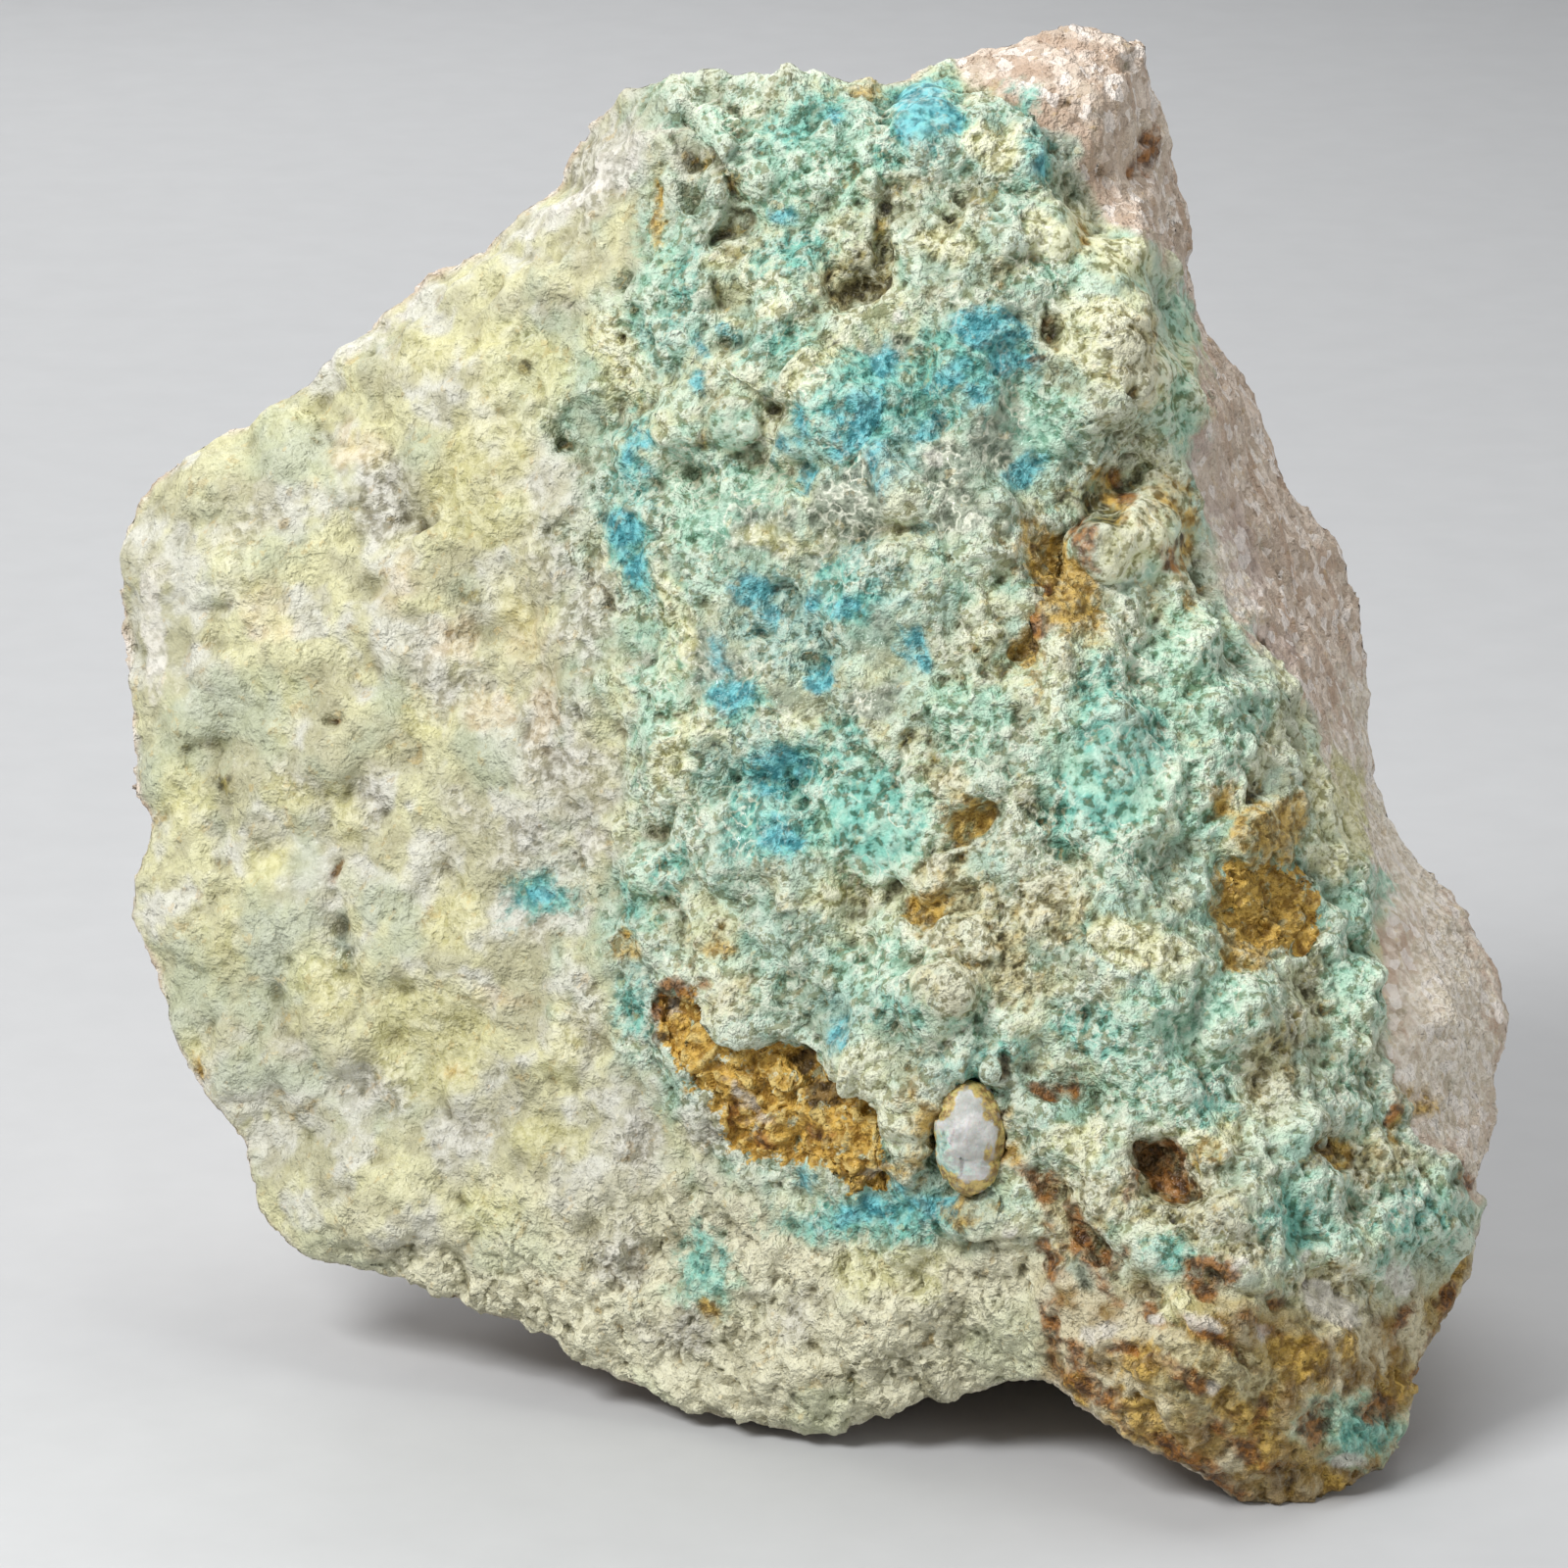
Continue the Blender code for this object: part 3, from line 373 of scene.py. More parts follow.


# %% [markdown]
# ## Patches of colour
# Over the grounds lie patches: azure and teal in the crust, sulphur yellow on the left, rust low
# down. Each is a listed ellipse. Before they are laid down, the face itself is bent with
# noise, which turns plain ellipses into the straggling shapes of a natural film.

# %% Patch lists
# For each film: over how many mm it thins out at its edges, and its patches. Each patch: x, h, half
# width, half height and, if it is turned, by how many degrees.
PATCHES = {
    # Strong blue.
    "azure": (0.8, [
        (3.5, 20.8, 1.15, 1.05), (7.3, 19.1, 0.35, 0.45), (5.7, 13.8, 1.3, 0.8, -10),
        (6.3, 12.8, 0.9, 0.6), (5.3, 11.9, 0.7, 0.5, 20), (4.2, 12.2, 0.8, 0.35, 20),
        (2.2, 12.6, 0.4, 1, -20), (1.5, 10.8, 0.7, 0.9, -20), (1, 10, 0.5, 0.35),
        (2.6, 9.7, 0.4, 0.8, 10), (-0.2, 10.9, 0.45, 0.6), (-0.9, 10.1, 0.7, 0.35, 40),
        (-0.2, 9, 0.5, 0.6), (6.9, 9.4, 0.75, 0.7), (-5.5, 10, 0.35, 0.9),
        (-6.1, 7.4, 0.55, 0.8, 25), (-5.5, 6.1, 0.45, 0.7, 20), (-1.9, 5.8, 0.8, 0.5),
        (-1.3, 4.8, 0.4, 0.7), (0.1, 5.4, 0.5, 0.5), (1.3, 5.1, 0.7, 0.45), (0.3, 2.9, 0.6, 0.6),
        (3.3, 3.6, 0.5, 1.1, 15), (-2.4, 2.2, 0.9, 0.7), (-1.2, -0.3, 1.1, 0.8),
        (-0.8, -2.1, 0.6, 0.8), (-3.7, 13.4, 0.35, 0.5), (-3.9, 12.4, 0.3, 0.6, 15),
        (-2.5, 13.7, 0.4, 0.4), (-1, 17.8, 0.5, 0.3), (0.6, 20.6, 0.4, 0.3), (0.8, -8.2, 0.65, 0.5),
        (-0.4, -13.2, 0.5, 0.3), (1.8, -14.2, 1.6, 0.4, 5), (4, -13.8, 1.2, 0.4, -10),
        (-8.7, -4.2, 0.7, 0.4, 30), (3.6, 7.6, 0.5, 0.4), (-2.9, 3.6, 0.3, 0.5),
        (3.8, 11, 0.4, 0.5),
    ]),
    # A wide blue-green wash.
    "turquoise": (2.4, [
        (2, 10.9, 2.2, 2.4, -20), (5.4, 12.8, 2, 1.6, -10), (-0.8, 4.6, 2, 1.8),
        (-1.4, -0.8, 1.8, 2.4, 10), (-5.6, 8, 0.9, 3), (1.6, 6.2, 2.2, 1.4), (3.3, 20.4, 1.6, 1),
        (3, -14, 2.6, 0.6), (5, -9.6, 1.4, 1), (-5, 13.4, 0.8, 1.8), (-0.6, 16.6, 1.4, 0.8, 20),
        (11, -10, 1.6, 1.2), (-5.4, -7.6, 0.8, 1.4), (-8.8, -4.2, 1.2, 0.8, 30),
        (1, -7.6, 1.2, 0.8), (-2.9, 9.6, 1, 1), (13.4, -14.6, 1.6, 0.7, -20), (7.2, 19.4, 0.8, 0.8),
    ]),
    # Pale quartz on the right.
    "beige": (1.6, [
        (17, -1.8, 1.6, 3.2, 10), (12.6, 6.4, 1, 2.6, 25), (20.2, -8.6, 1.6, 4),
        (18.8, -2.4, 1.3, 3.4, 15), (17.6, 1.6, 0.7, 2, 20), (20.8, -13, 0.9, 1.2),
    ]),
    # Deep green.
    "teal": (1.3, [
        (7.2, 19.3, 0.75, 0.9), (6.8, 21.1, 0.6, 0.6), (-5.6, 9.6, 0.5, 2),
        (4.8, 12.6, 2.4, 1.6, 20), (1.9, -1.6, 1.7, 1.7), (1, 0.4, 1, 1.2), (8.5, -1.5, 1.7, 1.3),
        (9.9, 0.9, 1.5, 1.5), (9, -8.7, 1.3, 1.1), (3.1, -7.5, 1, 0.5),
        (11.6, -15.7, 1.1, 0.6, -20), (15.4, -14.5, 1.6, 0.8, -20), (17.5, -21.2, 1, 0.7),
        (-8.8, -4.3, 1, 0.7, 20), (1.2, 5.6, 1.3, 1.1), (1.4, 11.2, 1.6, 2, -20),
        (-0.5, 16.4, 1.5, 0.9, 20), (-4, 15.4, 0.5, 1.5), (12.4, -10.6, 1.2, 1),
        (-5.7, 6.6, 0.8, 1.8, 15), (-1, 13.4, 1.4, 0.6, 20), (1.8, -14.4, 3, 0.8, 3),
        (4.9, -9.8, 1, 0.8), (-5.6, -7.8, 0.6, 1), (-0.9, 20.1, 1.3, 0.7, 25),
        (0.5, 20.9, 1.5, 0.6), (3.5, 20.8, 1.7, 1.4), (-3.4, -15.8, 0.8, 1.4), (-2.4, 2.1, 1.3, 1),
        (-6, -4.6, 0.5, 1), (-1.2, -1.2, 1.8, 2), (2.6, 19.4, 0.8, 0.5), (9.2, 2.6, 1, 1.2),
        (19, -14.3, 0.9, 0.8), (-4.4, -3.2, 0.6, 1.2), (6.2, -9, 0.8, 0.6),
    ]),
    # Light green.
    "mint": (1.6, [
        (12.2, 4, 1.6, 1.4), (11.2, 2.6, 2, 1.8), (9.6, -0.4, 2.6, 2.6, 20), (1.9, -1.8, 2.2, 2.4),
        (12, -1.2, 1.6, 1.4), (17.3, -6.6, 0.9, 3), (0.4, 18.8, 3, 1.4, 15), (-3, 20.2, 1.2, 0.8),
        (-3.6, 8.6, 1.4, 2.6), (-4.8, 2.4, 0.9, 2.6), (11, -9.4, 2.6, 2.2), (2.4, -6.2, 1.8, 0.8),
        (-5, 15.4, 0.8, 2.6), (17.8, -3.9, 1, 0.9), (15.8, -13.6, 1.2, 0.9, -15),
        (7.4, 10.8, 1.4, 1.4), (12.6, 0.6, 1.6, 1.6), (-5.2, -3.6, 0.8, 1.6),
        (-2.5, 10.8, 0.8, 0.8), (7.4, 15.6, 1.2, 0.8), (5, 1.6, 1.4, 1.4), (-3.4, -16.6, 1.2, 0.8),
        (19.2, -14.2, 1.3, 1.2), (17.2, -21, 1.6, 1.2), (11.6, 11.6, 1, 1.8), (12, 14.6, 0.8, 1.2),
        (5.4, -8, 1, 0.8), (16.8, -9.6, 0.8, 1.2), (13.2, -7.4, 1.4, 1.2), (-1.6, 8.9, 1.6, 0.8),
    ]),
    # Pale yellow crust.
    "cream": (1.3, [
        (-2.7, 16.1, 1.1, 0.6, 30), (-1.8, 14.4, 0.9, 0.5, 20), (7.8, 17.1, 1.1, 0.9),
        (9.6, 16.2, 1.5, 1, -20), (9, 13.6, 1.4, 1.4), (11.4, 12.2, 1.2, 1.6),
        (0.4, 12.6, 1.2, 0.8, 20), (5.7, 19.8, 1.2, 0.7, -20), (-4.3, 4.4, 0.8, 1.8),
        (-4, 0.7, 0.8, 1.4), (12.6, -11.4, 1.6, 1), (0.7, -3.9, 1.6, 0.8), (8.4, -12, 0.9, 0.9),
        (10.3, 7.3, 1.2, 1), (11, 9.2, 0.4, 0.8), (13.8, -2.6, 0.7, 0.7), (4.6, 17, 1, 1),
        (-5.6, 12.6, 0.7, 1.4), (4.5, -7.3, 0.5, 0.5), (-1, 7.2, 1.4, 0.5), (10.2, -5.6, 1.4, 1.2),
        (5.8, 3.9, 0.6, 0.6), (12, -17.2, 1, 0.7), (2.8, -16, 2, 1), (16.8, -1.6, 1.2, 2.2),
    ]),
    # Brownish crust.
    "tan": (1.2, [
        (11.4, -13.6, 2.2, 1.6, -20), (8.6, -14.4, 1.2, 1.6, 20), (5.2, -5.8, 2.2, 2.2),
        (4.1, -3.2, 1.2, 0.9, 20), (8.1, 5.7, 1.1, 1.2, 25), (10.2, 13.2, 0.7, 1.5),
        (1, 14.9, 1.3, 0.5, 20), (2.3, 18.7, 1.1, 0.8), (-2.8, -5.5, 1, 0.5, 20),
        (7.5, -4.4, 1.6, 1.4), (14.6, -9.2, 1.2, 1.4), (9.8, -13.8, 1.2, 0.7, -30),
        (13, -19.6, 2.4, 1.6, -30), (16.6, -17, 1.6, 1.2, -30), (7, -7.2, 1, 0.8),
        (-2.4, -7.2, 1, 0.8, -20), (6.2, 16, 0.8, 0.6), (13.2, -14.6, 2, 1.4, -30),
        (18, -12.6, 1.2, 1.2), (10.8, 8.6, 1, 0.8), (1.4, 15.6, 1.8, 1, 20), (4.2, -0.6, 1.2, 0.9),
        (12.6, -14.2, 1.6, 1, -30),
    ]),
    # A faint orange film.
    "peach": (1.4, [
        (-9.2, 4.2, 0.7, 1), (-10.4, 1.8, 0.7, 0.6), (-13, 5.6, 1.2, 0.8, 30), (-11.6, 4, 0.9, 0.8),
        (-8.4, 2, 0.5, 1.2), (-17.2, 5, 1, 1), (-10, -7.4, 0.8, 0.6), (-11.4, -9.7, 0.5, 0.4),
        (-14.4, 10.4, 1, 0.8),
    ]),
    # Yellow film.
    "sulphur": (1.5, [
        (-9.2, 12.4, 2, 1.8, 30), (-12.6, 13, 1.4, 0.9, 30), (-14.9, -1.6, 0.8, 1.4, 10),
        (-14.6, -3.8, 0.6, 0.8), (-18.2, 6.2, 0.6, 1.2, 20), (-20, -0.6, 1, 1.4),
        (-5, 18.2, 0.3, 2.2, -4), (-10.6, 9.2, 1.8, 2.6, -20), (-16.8, 2, 0.8, 1.4, 20),
        (-12, -8.6, 2.2, 2.2), (-8.4, -12, 1.4, 1), (-18.6, -6, 1, 1.4), (-16.6, -1, 1, 0.8),
        (-12.4, 1.6, 0.8, 1.2, 30), (-16.6, 11.2, 0.7, 0.5, 30), (-9.6, 5, 0.6, 1.2, 20),
        (-6.6, 12.6, 0.6, 1.6), (-11.4, -4.4, 1, 1.4, 20), (-13.6, 11.4, 0.4, 1.4),
        (-17.4, -3, 0.8, 1), (-15.6, -7, 1.2, 1.2), (-8, -9, 0.8, 1.2), (-10.4, -14, 1.4, 0.8, -20),
        (-19.4, -9, 0.8, 0.8),
    ]),
    # Iron in the valleys.
    "ochre": (0.75, [
        (14.3, -4.6, 1.4, 1.7, -10), (-5.9, -5.7, 0.6, 0.7), (7.6, 4.9, 0.4, 0.8),
        (8.7, 6.2, 0.5, 0.5), (11.4, 8.1, 0.9, 0.3, -30), (11.9, 7, 0.35, 0.9, -10),
        (9.7, 8.7, 0.35, 0.9, 30), (-11.4, -9.7, 0.4, 0.3), (16.6, -12.4, 0.6, 0.6),
        (8.6, 17, 0.3, 0.5), (-19.4, -9.6, 0.3, 0.5, 20), (3.7, -4.6, 0.9, 0.5, 20),
        (5.2, -2.1, 0.8, 0.35, 40), (18.6, -11.2, 0.3, 0.8), (4.9, -14, 0.9, 0.25, -10),
        (3.4, -11.4, 0.3, 1.7, 5), (13.6, -20.6, 1.6, 0.6, -30), (6.4, -12, 0.3, 1.2),
        (10.4, -19, 1, 0.8), (-2.8, -5.7, 0.5, 0.4), (17, -18.4, 0.5, 1), (-3.2, -17.3, 0.5, 0.4),
        (1.2, -13.3, 1, 0.4, -20), (2.9, -12.9, 0.7, 0.3, 20), (1.7, 21.6, 0.6, 0.3),
        (-5, 18, 0.2, 1.8, -3), (14.4, -20.9, 0.5, 1.4, -20), (12.6, -12.2, 0.6, 0.4),
        (6.9, -12.3, 0.4, 0.5), (20.6, -16.2, 0.5, 0.8), (19.6, -10.6, 0.5, 0.4),
        (8.6, -20, 0.8, 0.6, -50), (18.6, -19.6, 0.8, 0.5), (12, 5.4, 0.3, 0.4),
        (7.9, 5.8, 1.1, 2.3, 30), (7, 3.6, 0.6, 1.2), (11.3, 8.8, 0.8, 0.3, -20),
        (4.6, -1.7, 0.9, 0.5, 20), (14.7, -2, 1.1, 1.2), (13.6, -6.2, 0.8, 0.6),
        (13.4, -1.2, 0.4, 0.8), (15.4, -18.8, 1, 0.7, -30), (10.6, -20.9, 1.2, 0.7, -35),
        (16.4, -22.6, 1.2, 0.4, -20), (12.6, -18, 0.9, 0.5, -30),
    ]),
    # Darker iron.
    "rust": (0.65, [
        (7.4, -13.6, 0.35, 1.3, 25), (9, -15.6, 0.4, 1.5, 30), (12.6, -16.2, 0.7, 0.8, 20),
        (11.6, -12.2, 0.9, 0.35, -30), (10, -13.2, 0.3, 0.9), (-3.9, -7, 0.9, 0.3, 10),
        (-4.8, -7.8, 0.3, 0.8), (-3.2, -7.7, 0.25, 0.6), (7.6, -13.5, 0.3, 0.8, 30),
        (8.8, -14.6, 1.1, 0.3, -45), (9.8, -15.8, 0.35, 0.5, 20), (11.2, -12.8, 1.1, 0.6, -35),
        (13.2, -16.2, 0.5, 0.45), (7.7, -17.8, 0.3, 1.3, 10), (9.2, -20.2, 1.6, 0.35, -38),
        (12.4, -22.2, 2.2, 0.4, -28), (10.8, -17.4, 1.3, 0.3, -40), (17.9, -20.3, 0.7, 0.5, 20),
        (7.6, -10.2, 0.9, 0.45, -10), (19.6, -18.6, 0.25, 1.2, -30), (20.9, -13.2, 0.25, 0.5),
        (18.4, -10.9, 0.25, 0.8), (-15.1, 1.6, 0.25, 0.3), (-15.2, -3.5, 0.35, 0.5),
        (-1.7, -12, 0.5, 0.3, -10), (10.7, 19.6, 0.3, 0.9, -10), (13, -18.2, 1.2, 0.3, -35),
        (14.4, -20.4, 0.3, 1, -20), (0.6, -11.6, 0.6, 0.3), (20.3, -16.8, 0.3, 0.8, -20),
        (11.4, 6.6, 0.35, 0.4), (8.6, -18.9, 0.4, 0.8, 20), (15, -17, 0.4, 0.25, -30),
        (-2.6, -10.9, 0.25, 0.7), (9.9, 8.9, 0.25, 0.5, 30), (7.3, 4.8, 0.4, 1.3, 20),
        (8.9, 7.2, 0.4, 0.8, 30), (11.8, -19.6, 1.9, 0.35, -35), (13.8, -21.6, 1.5, 0.35, -25),
        (16.2, -21, 0.4, 0.9, -20), (10, -18.6, 1, 0.3, -38), (8, -15.8, 0.35, 1.2, 15),
        (18.9, -17.6, 0.3, 0.9, -25), (14.6, -17.8, 0.9, 0.25, -30),
    ]),
    # Dark moss-green along crevices and between lumps, partly painted shade.
    "olive": (1, [
        (-4.1, 20.2, 0.4, 0.6, 20), (-3.4, 19, 0.8, 0.4, -20), (-2.3, 18.2, 0.3, 0.7),
        (-3, 17.1, 0.8, 0.35, 15), (2.4, 17, 0.4, 1.4), (1.8, 15.4, 0.8, 0.35, 20),
        (0, 14.4, 0.9, 0.25, 25), (5.5, 18.4, 0.7, 0.6, 30), (7.4, 14, 0.6, 0.3, -50),
        (3.5, 13.1, 0.4, 0.25), (-1.6, 10.6, 0.35, 0.8), (-1.3, 11.7, 0.8, 0.5, 30),
        (-3.3, 10.4, 0.4, 0.4), (3.6, -4.8, 0.9, 0.35), (5.4, -1.8, 0.7, 0.35, 20),
        (4.6, -2.5, 0.7, 0.3, 40), (8, 7, 0.9, 0.6, 40), (8.6, 8.2, 0.4, 0.8, 30),
        (9.6, 9.4, 0.35, 1, 30), (7.2, 5, 0.4, 0.8, 10), (14.2, -0.6, 0.3, 1),
        (-10.7, 5.4, 0.3, 0.5), (3.5, -0.3, 0.9, 0.3, 20), (16.2, -6.8, 0.35, 2.2),
        (15, -8.4, 0.5, 1), (16.4, -11.8, 0.7, 0.5, -30), (-3, 15, 0.3, 0.6), (6.9, -1, 0.5, 0.5),
        (3.2, 0.6, 0.5, 0.4), (12.4, 16.9, 0.3, 0.5), (-9, 12.6, 0.5, 0.4), (9, -6, 0.6, 0.4),
        (4, 14.9, 0.4, 0.3), (-20.2, 0.4, 0.3, 0.3), (-18.8, -0.6, 0.4, 0.4), (8.2, 3.2, 0.5, 0.3),
        (9.2, 8, 0.7, 1.2, 40), (7, 5.6, 0.5, 1.2, 20), (1.6, 16, 0.9, 0.6), (4.2, 0.2, 0.7, 0.5),
        (13.4, -14.8, 1, 0.5, -30), (11.2, -14.4, 1, 0.4, -20), (12.6, -12.6, 0.8, 0.4, 20),
        (16.4, -12.4, 0.9, 0.7), (4.4, 17.6, 0.5, 0.4), (-2.6, 16.4, 0.6, 0.4),
        (6, 3, 0.8, 0.4, 30),
    ]),
    # Bare glassy quartz.
    "grey": (0.9, [
        (-1.8, 7.6, 1.9, 1.1, -10), (1, 7.9, 1.3, 0.9), (-3.4, 3.2, 1.1, 1.2), (2.2, 4.1, 0.9, 1.4),
        (6.3, 10.6, 1.4, 1), (4.4, 9.6, 1, 0.9), (-2, -2, 0.9, 0.9), (1.9, 8.8, 0.8, 0.9),
        (2, 13, 1.6, 0.5, 30), (2.2, 2.2, 0.9, 0.6), (0.6, 6.6, 0.8, 0.5), (12, -8, 1.2, 0.5, 30),
        (11.4, -13.3, 0.5, 0.4), (4.8, 8, 0.8, 0.8), (8.4, -15.6, 0.5, 1.4, 20),
        (-15, -5.9, 0.3, 1), (-0.6, 2.4, 0.8, 0.6, 20),
    ]),
    # Grey-white film.
    "ash": (2, [
        (-7.4, 5, 1.2, 1.6), (-7.2, -1, 1.2, 2.6), (-9, -4.8, 1.2, 1), (-6.6, 19, 1, 2.4, -30),
        (-7.8, 0.6, 1.4, 3, 15), (-8.4, 6.6, 1, 1.4), (-9.2, -2.4, 1.2, 1.2), (-7.4, -8, 0.8, 1.4),
        (-5.4, -12, 1, 1.4, 20), (-3.6, -11.4, 1, 1.4, 10), (-4.6, -18, 1.4, 0.8),
        (-0.6, -17.6, 1.2, 0.7), (3.6, -16.2, 1, 1), (-16.2, -0.4, 0.8, 0.8),
        (-13.4, 8.6, 1.4, 2, 20), (-11.6, 3.2, 1, 1.6, 30), (-14, -1, 0.7, 1.6),
        (-15.1, -6, 0.5, 1.2), (-10.6, -1.4, 0.8, 1.4, 30), (-13.4, -10.4, 1.2, 1),
        (-7, 4, 0.8, 2.2), (-17.6, 7.6, 1, 0.8, 20), (-10.8, -11.8, 1.2, 0.8),
        (-6.2, -15.6, 1, 1.2),
    ]),
    # Worn pinkish quartz.
    "mauve": (1, [
        (13.2, 7.4, 0.9, 2.8, 20), (14.4, 3.8, 1.2, 1), (11.9, 10.2, 0.8, 1.2),
        (15.9, -1.8, 1.6, 0.5),
    ]),
    # Bruised white edges.
    "pale": (0.4, [
        (-16.8, 12.3, 5.6, 0.4, 32), (-20.9, 4.4, 0.5, 2.6), (-6.8, 18.6, 3, 0.35, 38),
        (-4.2, -7.7, 0.2, 0.35, 20), (2.9, 14.3, 0.3, 0.25), (2.1, -13, 0.7, 0.2, 20),
        (-2.2, -10.6, 0.25, 0.6, 20), (-1.7, -11.4, 0.5, 0.2, 10), (11, -17.5, 0.35, 0.25),
        (13.6, -15.9, 0.3, 0.25), (16.8, -17.2, 1.1, 0.6, -30), (14.6, -18, 0.5, 0.4),
        (9.2, -17.8, 0.7, 0.4, 20), (12.6, -17.6, 0.6, 0.3, -20), (15.8, -15.6, 0.3, 0.3),
        (18.6, -16.2, 0.6, 0.7), (12.8, -20, 0.3, 0.4), (3.9, 10, 0.3, 0.3), (6.6, -14.8, 0.3, 0.3),
        (17, -22, 0.5, 0.3),
    ]),
    # Small holes: a shallow dip, painted dark as the shade inside them.
    "vug": (0.35, [
        (-0.5, -9.2, 0.4, 0.35), (0.4, -10.2, 0.8, 0.4, -30), (6.15, -12, 0.25, 1.7),
        (10.6, -12.5, 0.5, 0.35, -30), (11.8, -13.5, 0.35, 0.3, -30), (16.4, -12, 0.4, 0.3),
        (7, 6.8, 0.25, 0.3), (7.2, 3.6, 0.25, 0.3), (-4.8, -8.6, 0.25, 0.3),
        (7.6, 13.9, 0.3, 0.2, -50), (7.1, 12.9, 0.2, 0.2), (-15.2, -3.2, 0.2, 0.25),
        (13.1, -16.3, 0.3, 0.3), (-5.8, 13.4, 0.14, 0.14), (9.1, -2, 0.12, 0.12),
        (14.3, 3.9, 0.35, 0.2, -30), (8.2, 21.1, 0.14, 0.14), (6, -9.6, 0.35, 0.3, -40),
        (11.7, 7.2, 0.2, 0.3),
    ]),
}


def patch_mask(bent, patches, reach):
    """1 inside the patches, a half on their edges and 0 outside, thinning out over the reach."""
    best = np.full(len(bent), 9.0)
    for x, h, half_width, half_height, *turn in patches:
        across, up = bent[:, 0] - x, bent[:, 1] - h
        angle = math.radians(turn[0]) if turn else 0.0
        c, s = math.cos(angle), math.sin(angle)
        u, v = (across * c + up * s) / half_width, (up * c - across * s) / half_height
        best = np.minimum(best, (np.sqrt(u * u + v * v) - 1.0) * min(half_width, half_height))
    return 1.0 - ramp(best, -0.7 * reach, 0.7 * reach)


def bend(face, points):
    """The places on the face, pushed about by noise of two sizes."""
    bent = face[:, :2].copy()
    for axis in (0, 1):
        wide, narrow = soft(points @ TURN, 1.5, 61 + axis), rough(points, 0.5, 2, 64 + axis)
        bent[:, axis] += 0.35 * wide + 0.14 * narrow
    return bent


# %% [markdown]
# ## Pressing in the relief
# The crust stands in soft mounds with branching valleys between them, set with small round grains.
# Broken quartz is small flat facets, and limonite crumbles into blocks. The heights are added up
# as numbers, one mineral at a time, each weighed by how surely the point belongs to it, and the
# skin is moved along its own normals. A few places have a form of their own: crevices, round
# lumps, smooth windows, and gaps that loose crumbs have filled.

# %% Relief
# Each groove: depth, half width, and the points it runs through, as x and h.
GROOVES = [
    (0.45, 0.4, [(-4.2, 20.4), (-3.6, 19.2), (-2.4, 18.8), (-2.3, 17.6), (-3.4, 17.1), (-4, 18)]),
    (0.4, 0.5, [(2.6, 17.6), (2.4, 16.2), (2.2, 15.4), (0.8, 14.7), (-0.6, 13.9)]),
    (0.25, 0.5, [(5.2, 18.8), (5.9, 18)]), (0.2, 0.3, [(7, 14.2), (7.7, 13.7)]),
    (0.35, 0.35, [(5.6, -1.6), (4.6, -2.3), (3.8, -2.8)]),
    (0.4, 0.35, [(2.6, -4), (3.6, -4.9), (5.2, -4.2)]),
    (0.25, 0.4, [(10.3, 9.7), (9.4, 8.4), (8.6, 7.4)]),
    (0.3, 0.4, [(-1.3, 11.8), (-1.5, 10.4), (-2.4, 9.8)]),
    (0.2, 0.6, [(10.4, -12.5), (11.9, -13.6)]), (0.15, 0.4, [(15.8, -11.8), (16.9, -12.5)]),
    (0.12, 0.3, [(-15.1, -2.9), (-15.3, -3.6), (-15, -5), (-14.9, -6.6)]),
    (0.15, 0.4, [(7, -10), (8.2, -10.4)]), (0.35, 0.4, [(18.2, -4.4), (18.3, -7), (18.1, -9.4)]),
    (0.4, 0.6, [(-13.3, 10.8), (-13.4, 9.2), (-12.8, 8)]),
    (0.3, 0.4, [(14.4, 0.8), (14.2, -1), (13, -1.8)]),
    (0.3, 0.3, [(7.4, -13), (8.4, -14.4), (9.6, -15.6), (11.6, -17.6), (13.6, -18.6)]),
]
# Round lumps that stand alone: x, h, radius, height.
BALLS = [
    (-2.5, 10.8, 0.8, 0.2), (-3, 20.3, 0.8, 0.35), (-3.1, 18.3, 0.5, 0.4), (3.5, 20.8, 1.05, 0.45),
    (10.2, 7.4, 1.5, 0.3), (7.8, 17.1, 0.95, 0.35), (9.9, 15.9, 1.5, 0.35), (11.3, 13.4, 1.2, 0.3),
    (13.8, -2.6, 0.8, 0.45), (4.5, -7.3, 0.5, 0.35), (4.6, 2.1, 0.7, 0.3), (7.1, 2.4, 0.65, 0.3),
    (5.9, 4, 0.6, 0.3), (-14.6, 9.2, 1, 0.4), (6.2, -14.2, 0.35, 0.25), (4.1, -2.7, 0.7, 0.25),
    (7.2, 19.2, 0.8, 0.3), (13.8, -12, 0.8, 0.3), (9.4, 12, 0.8, 0.25), (14.9, -11.2, 0.9, 0.3),
    (-0.5, 16.4, 1.3, 0.25), (2.9, 14.3, 0.3, 0.25), (19, -14.2, 1.1, 0.3), (11, -17.5, 0.3, 0.2),
    (-12.2, 5.9, 1, 0.3), (-10, 8.4, 1.2, 0.25), (-17, 8, 1.1, 0.25), (-16.4, -2, 1, 0.25),
]
# Where the surface is smoother than the crust around it.
SMOOTH = [
    (1.9, -1.8, 1.5, 1.5), (10.2, 7.4, 2.1, 1.8), (9.9, 15.9, 1.4, 1.2), (11.3, 13.2, 1, 1.6),
    (7.8, 17.1, 0.9, 0.8), (-14.6, 9.2, 0.9, 1.2), (9.6, -0.4, 1.6, 1.6), (-20.4, 3.6, 1, 3),
    (-16.6, -3.2, 1.4, 1.4), (3.5, 20.8, 1, 0.9), (18.9, -6, 0.8, 3.4), (-2.5, 10.8, 0.7, 0.7),
]
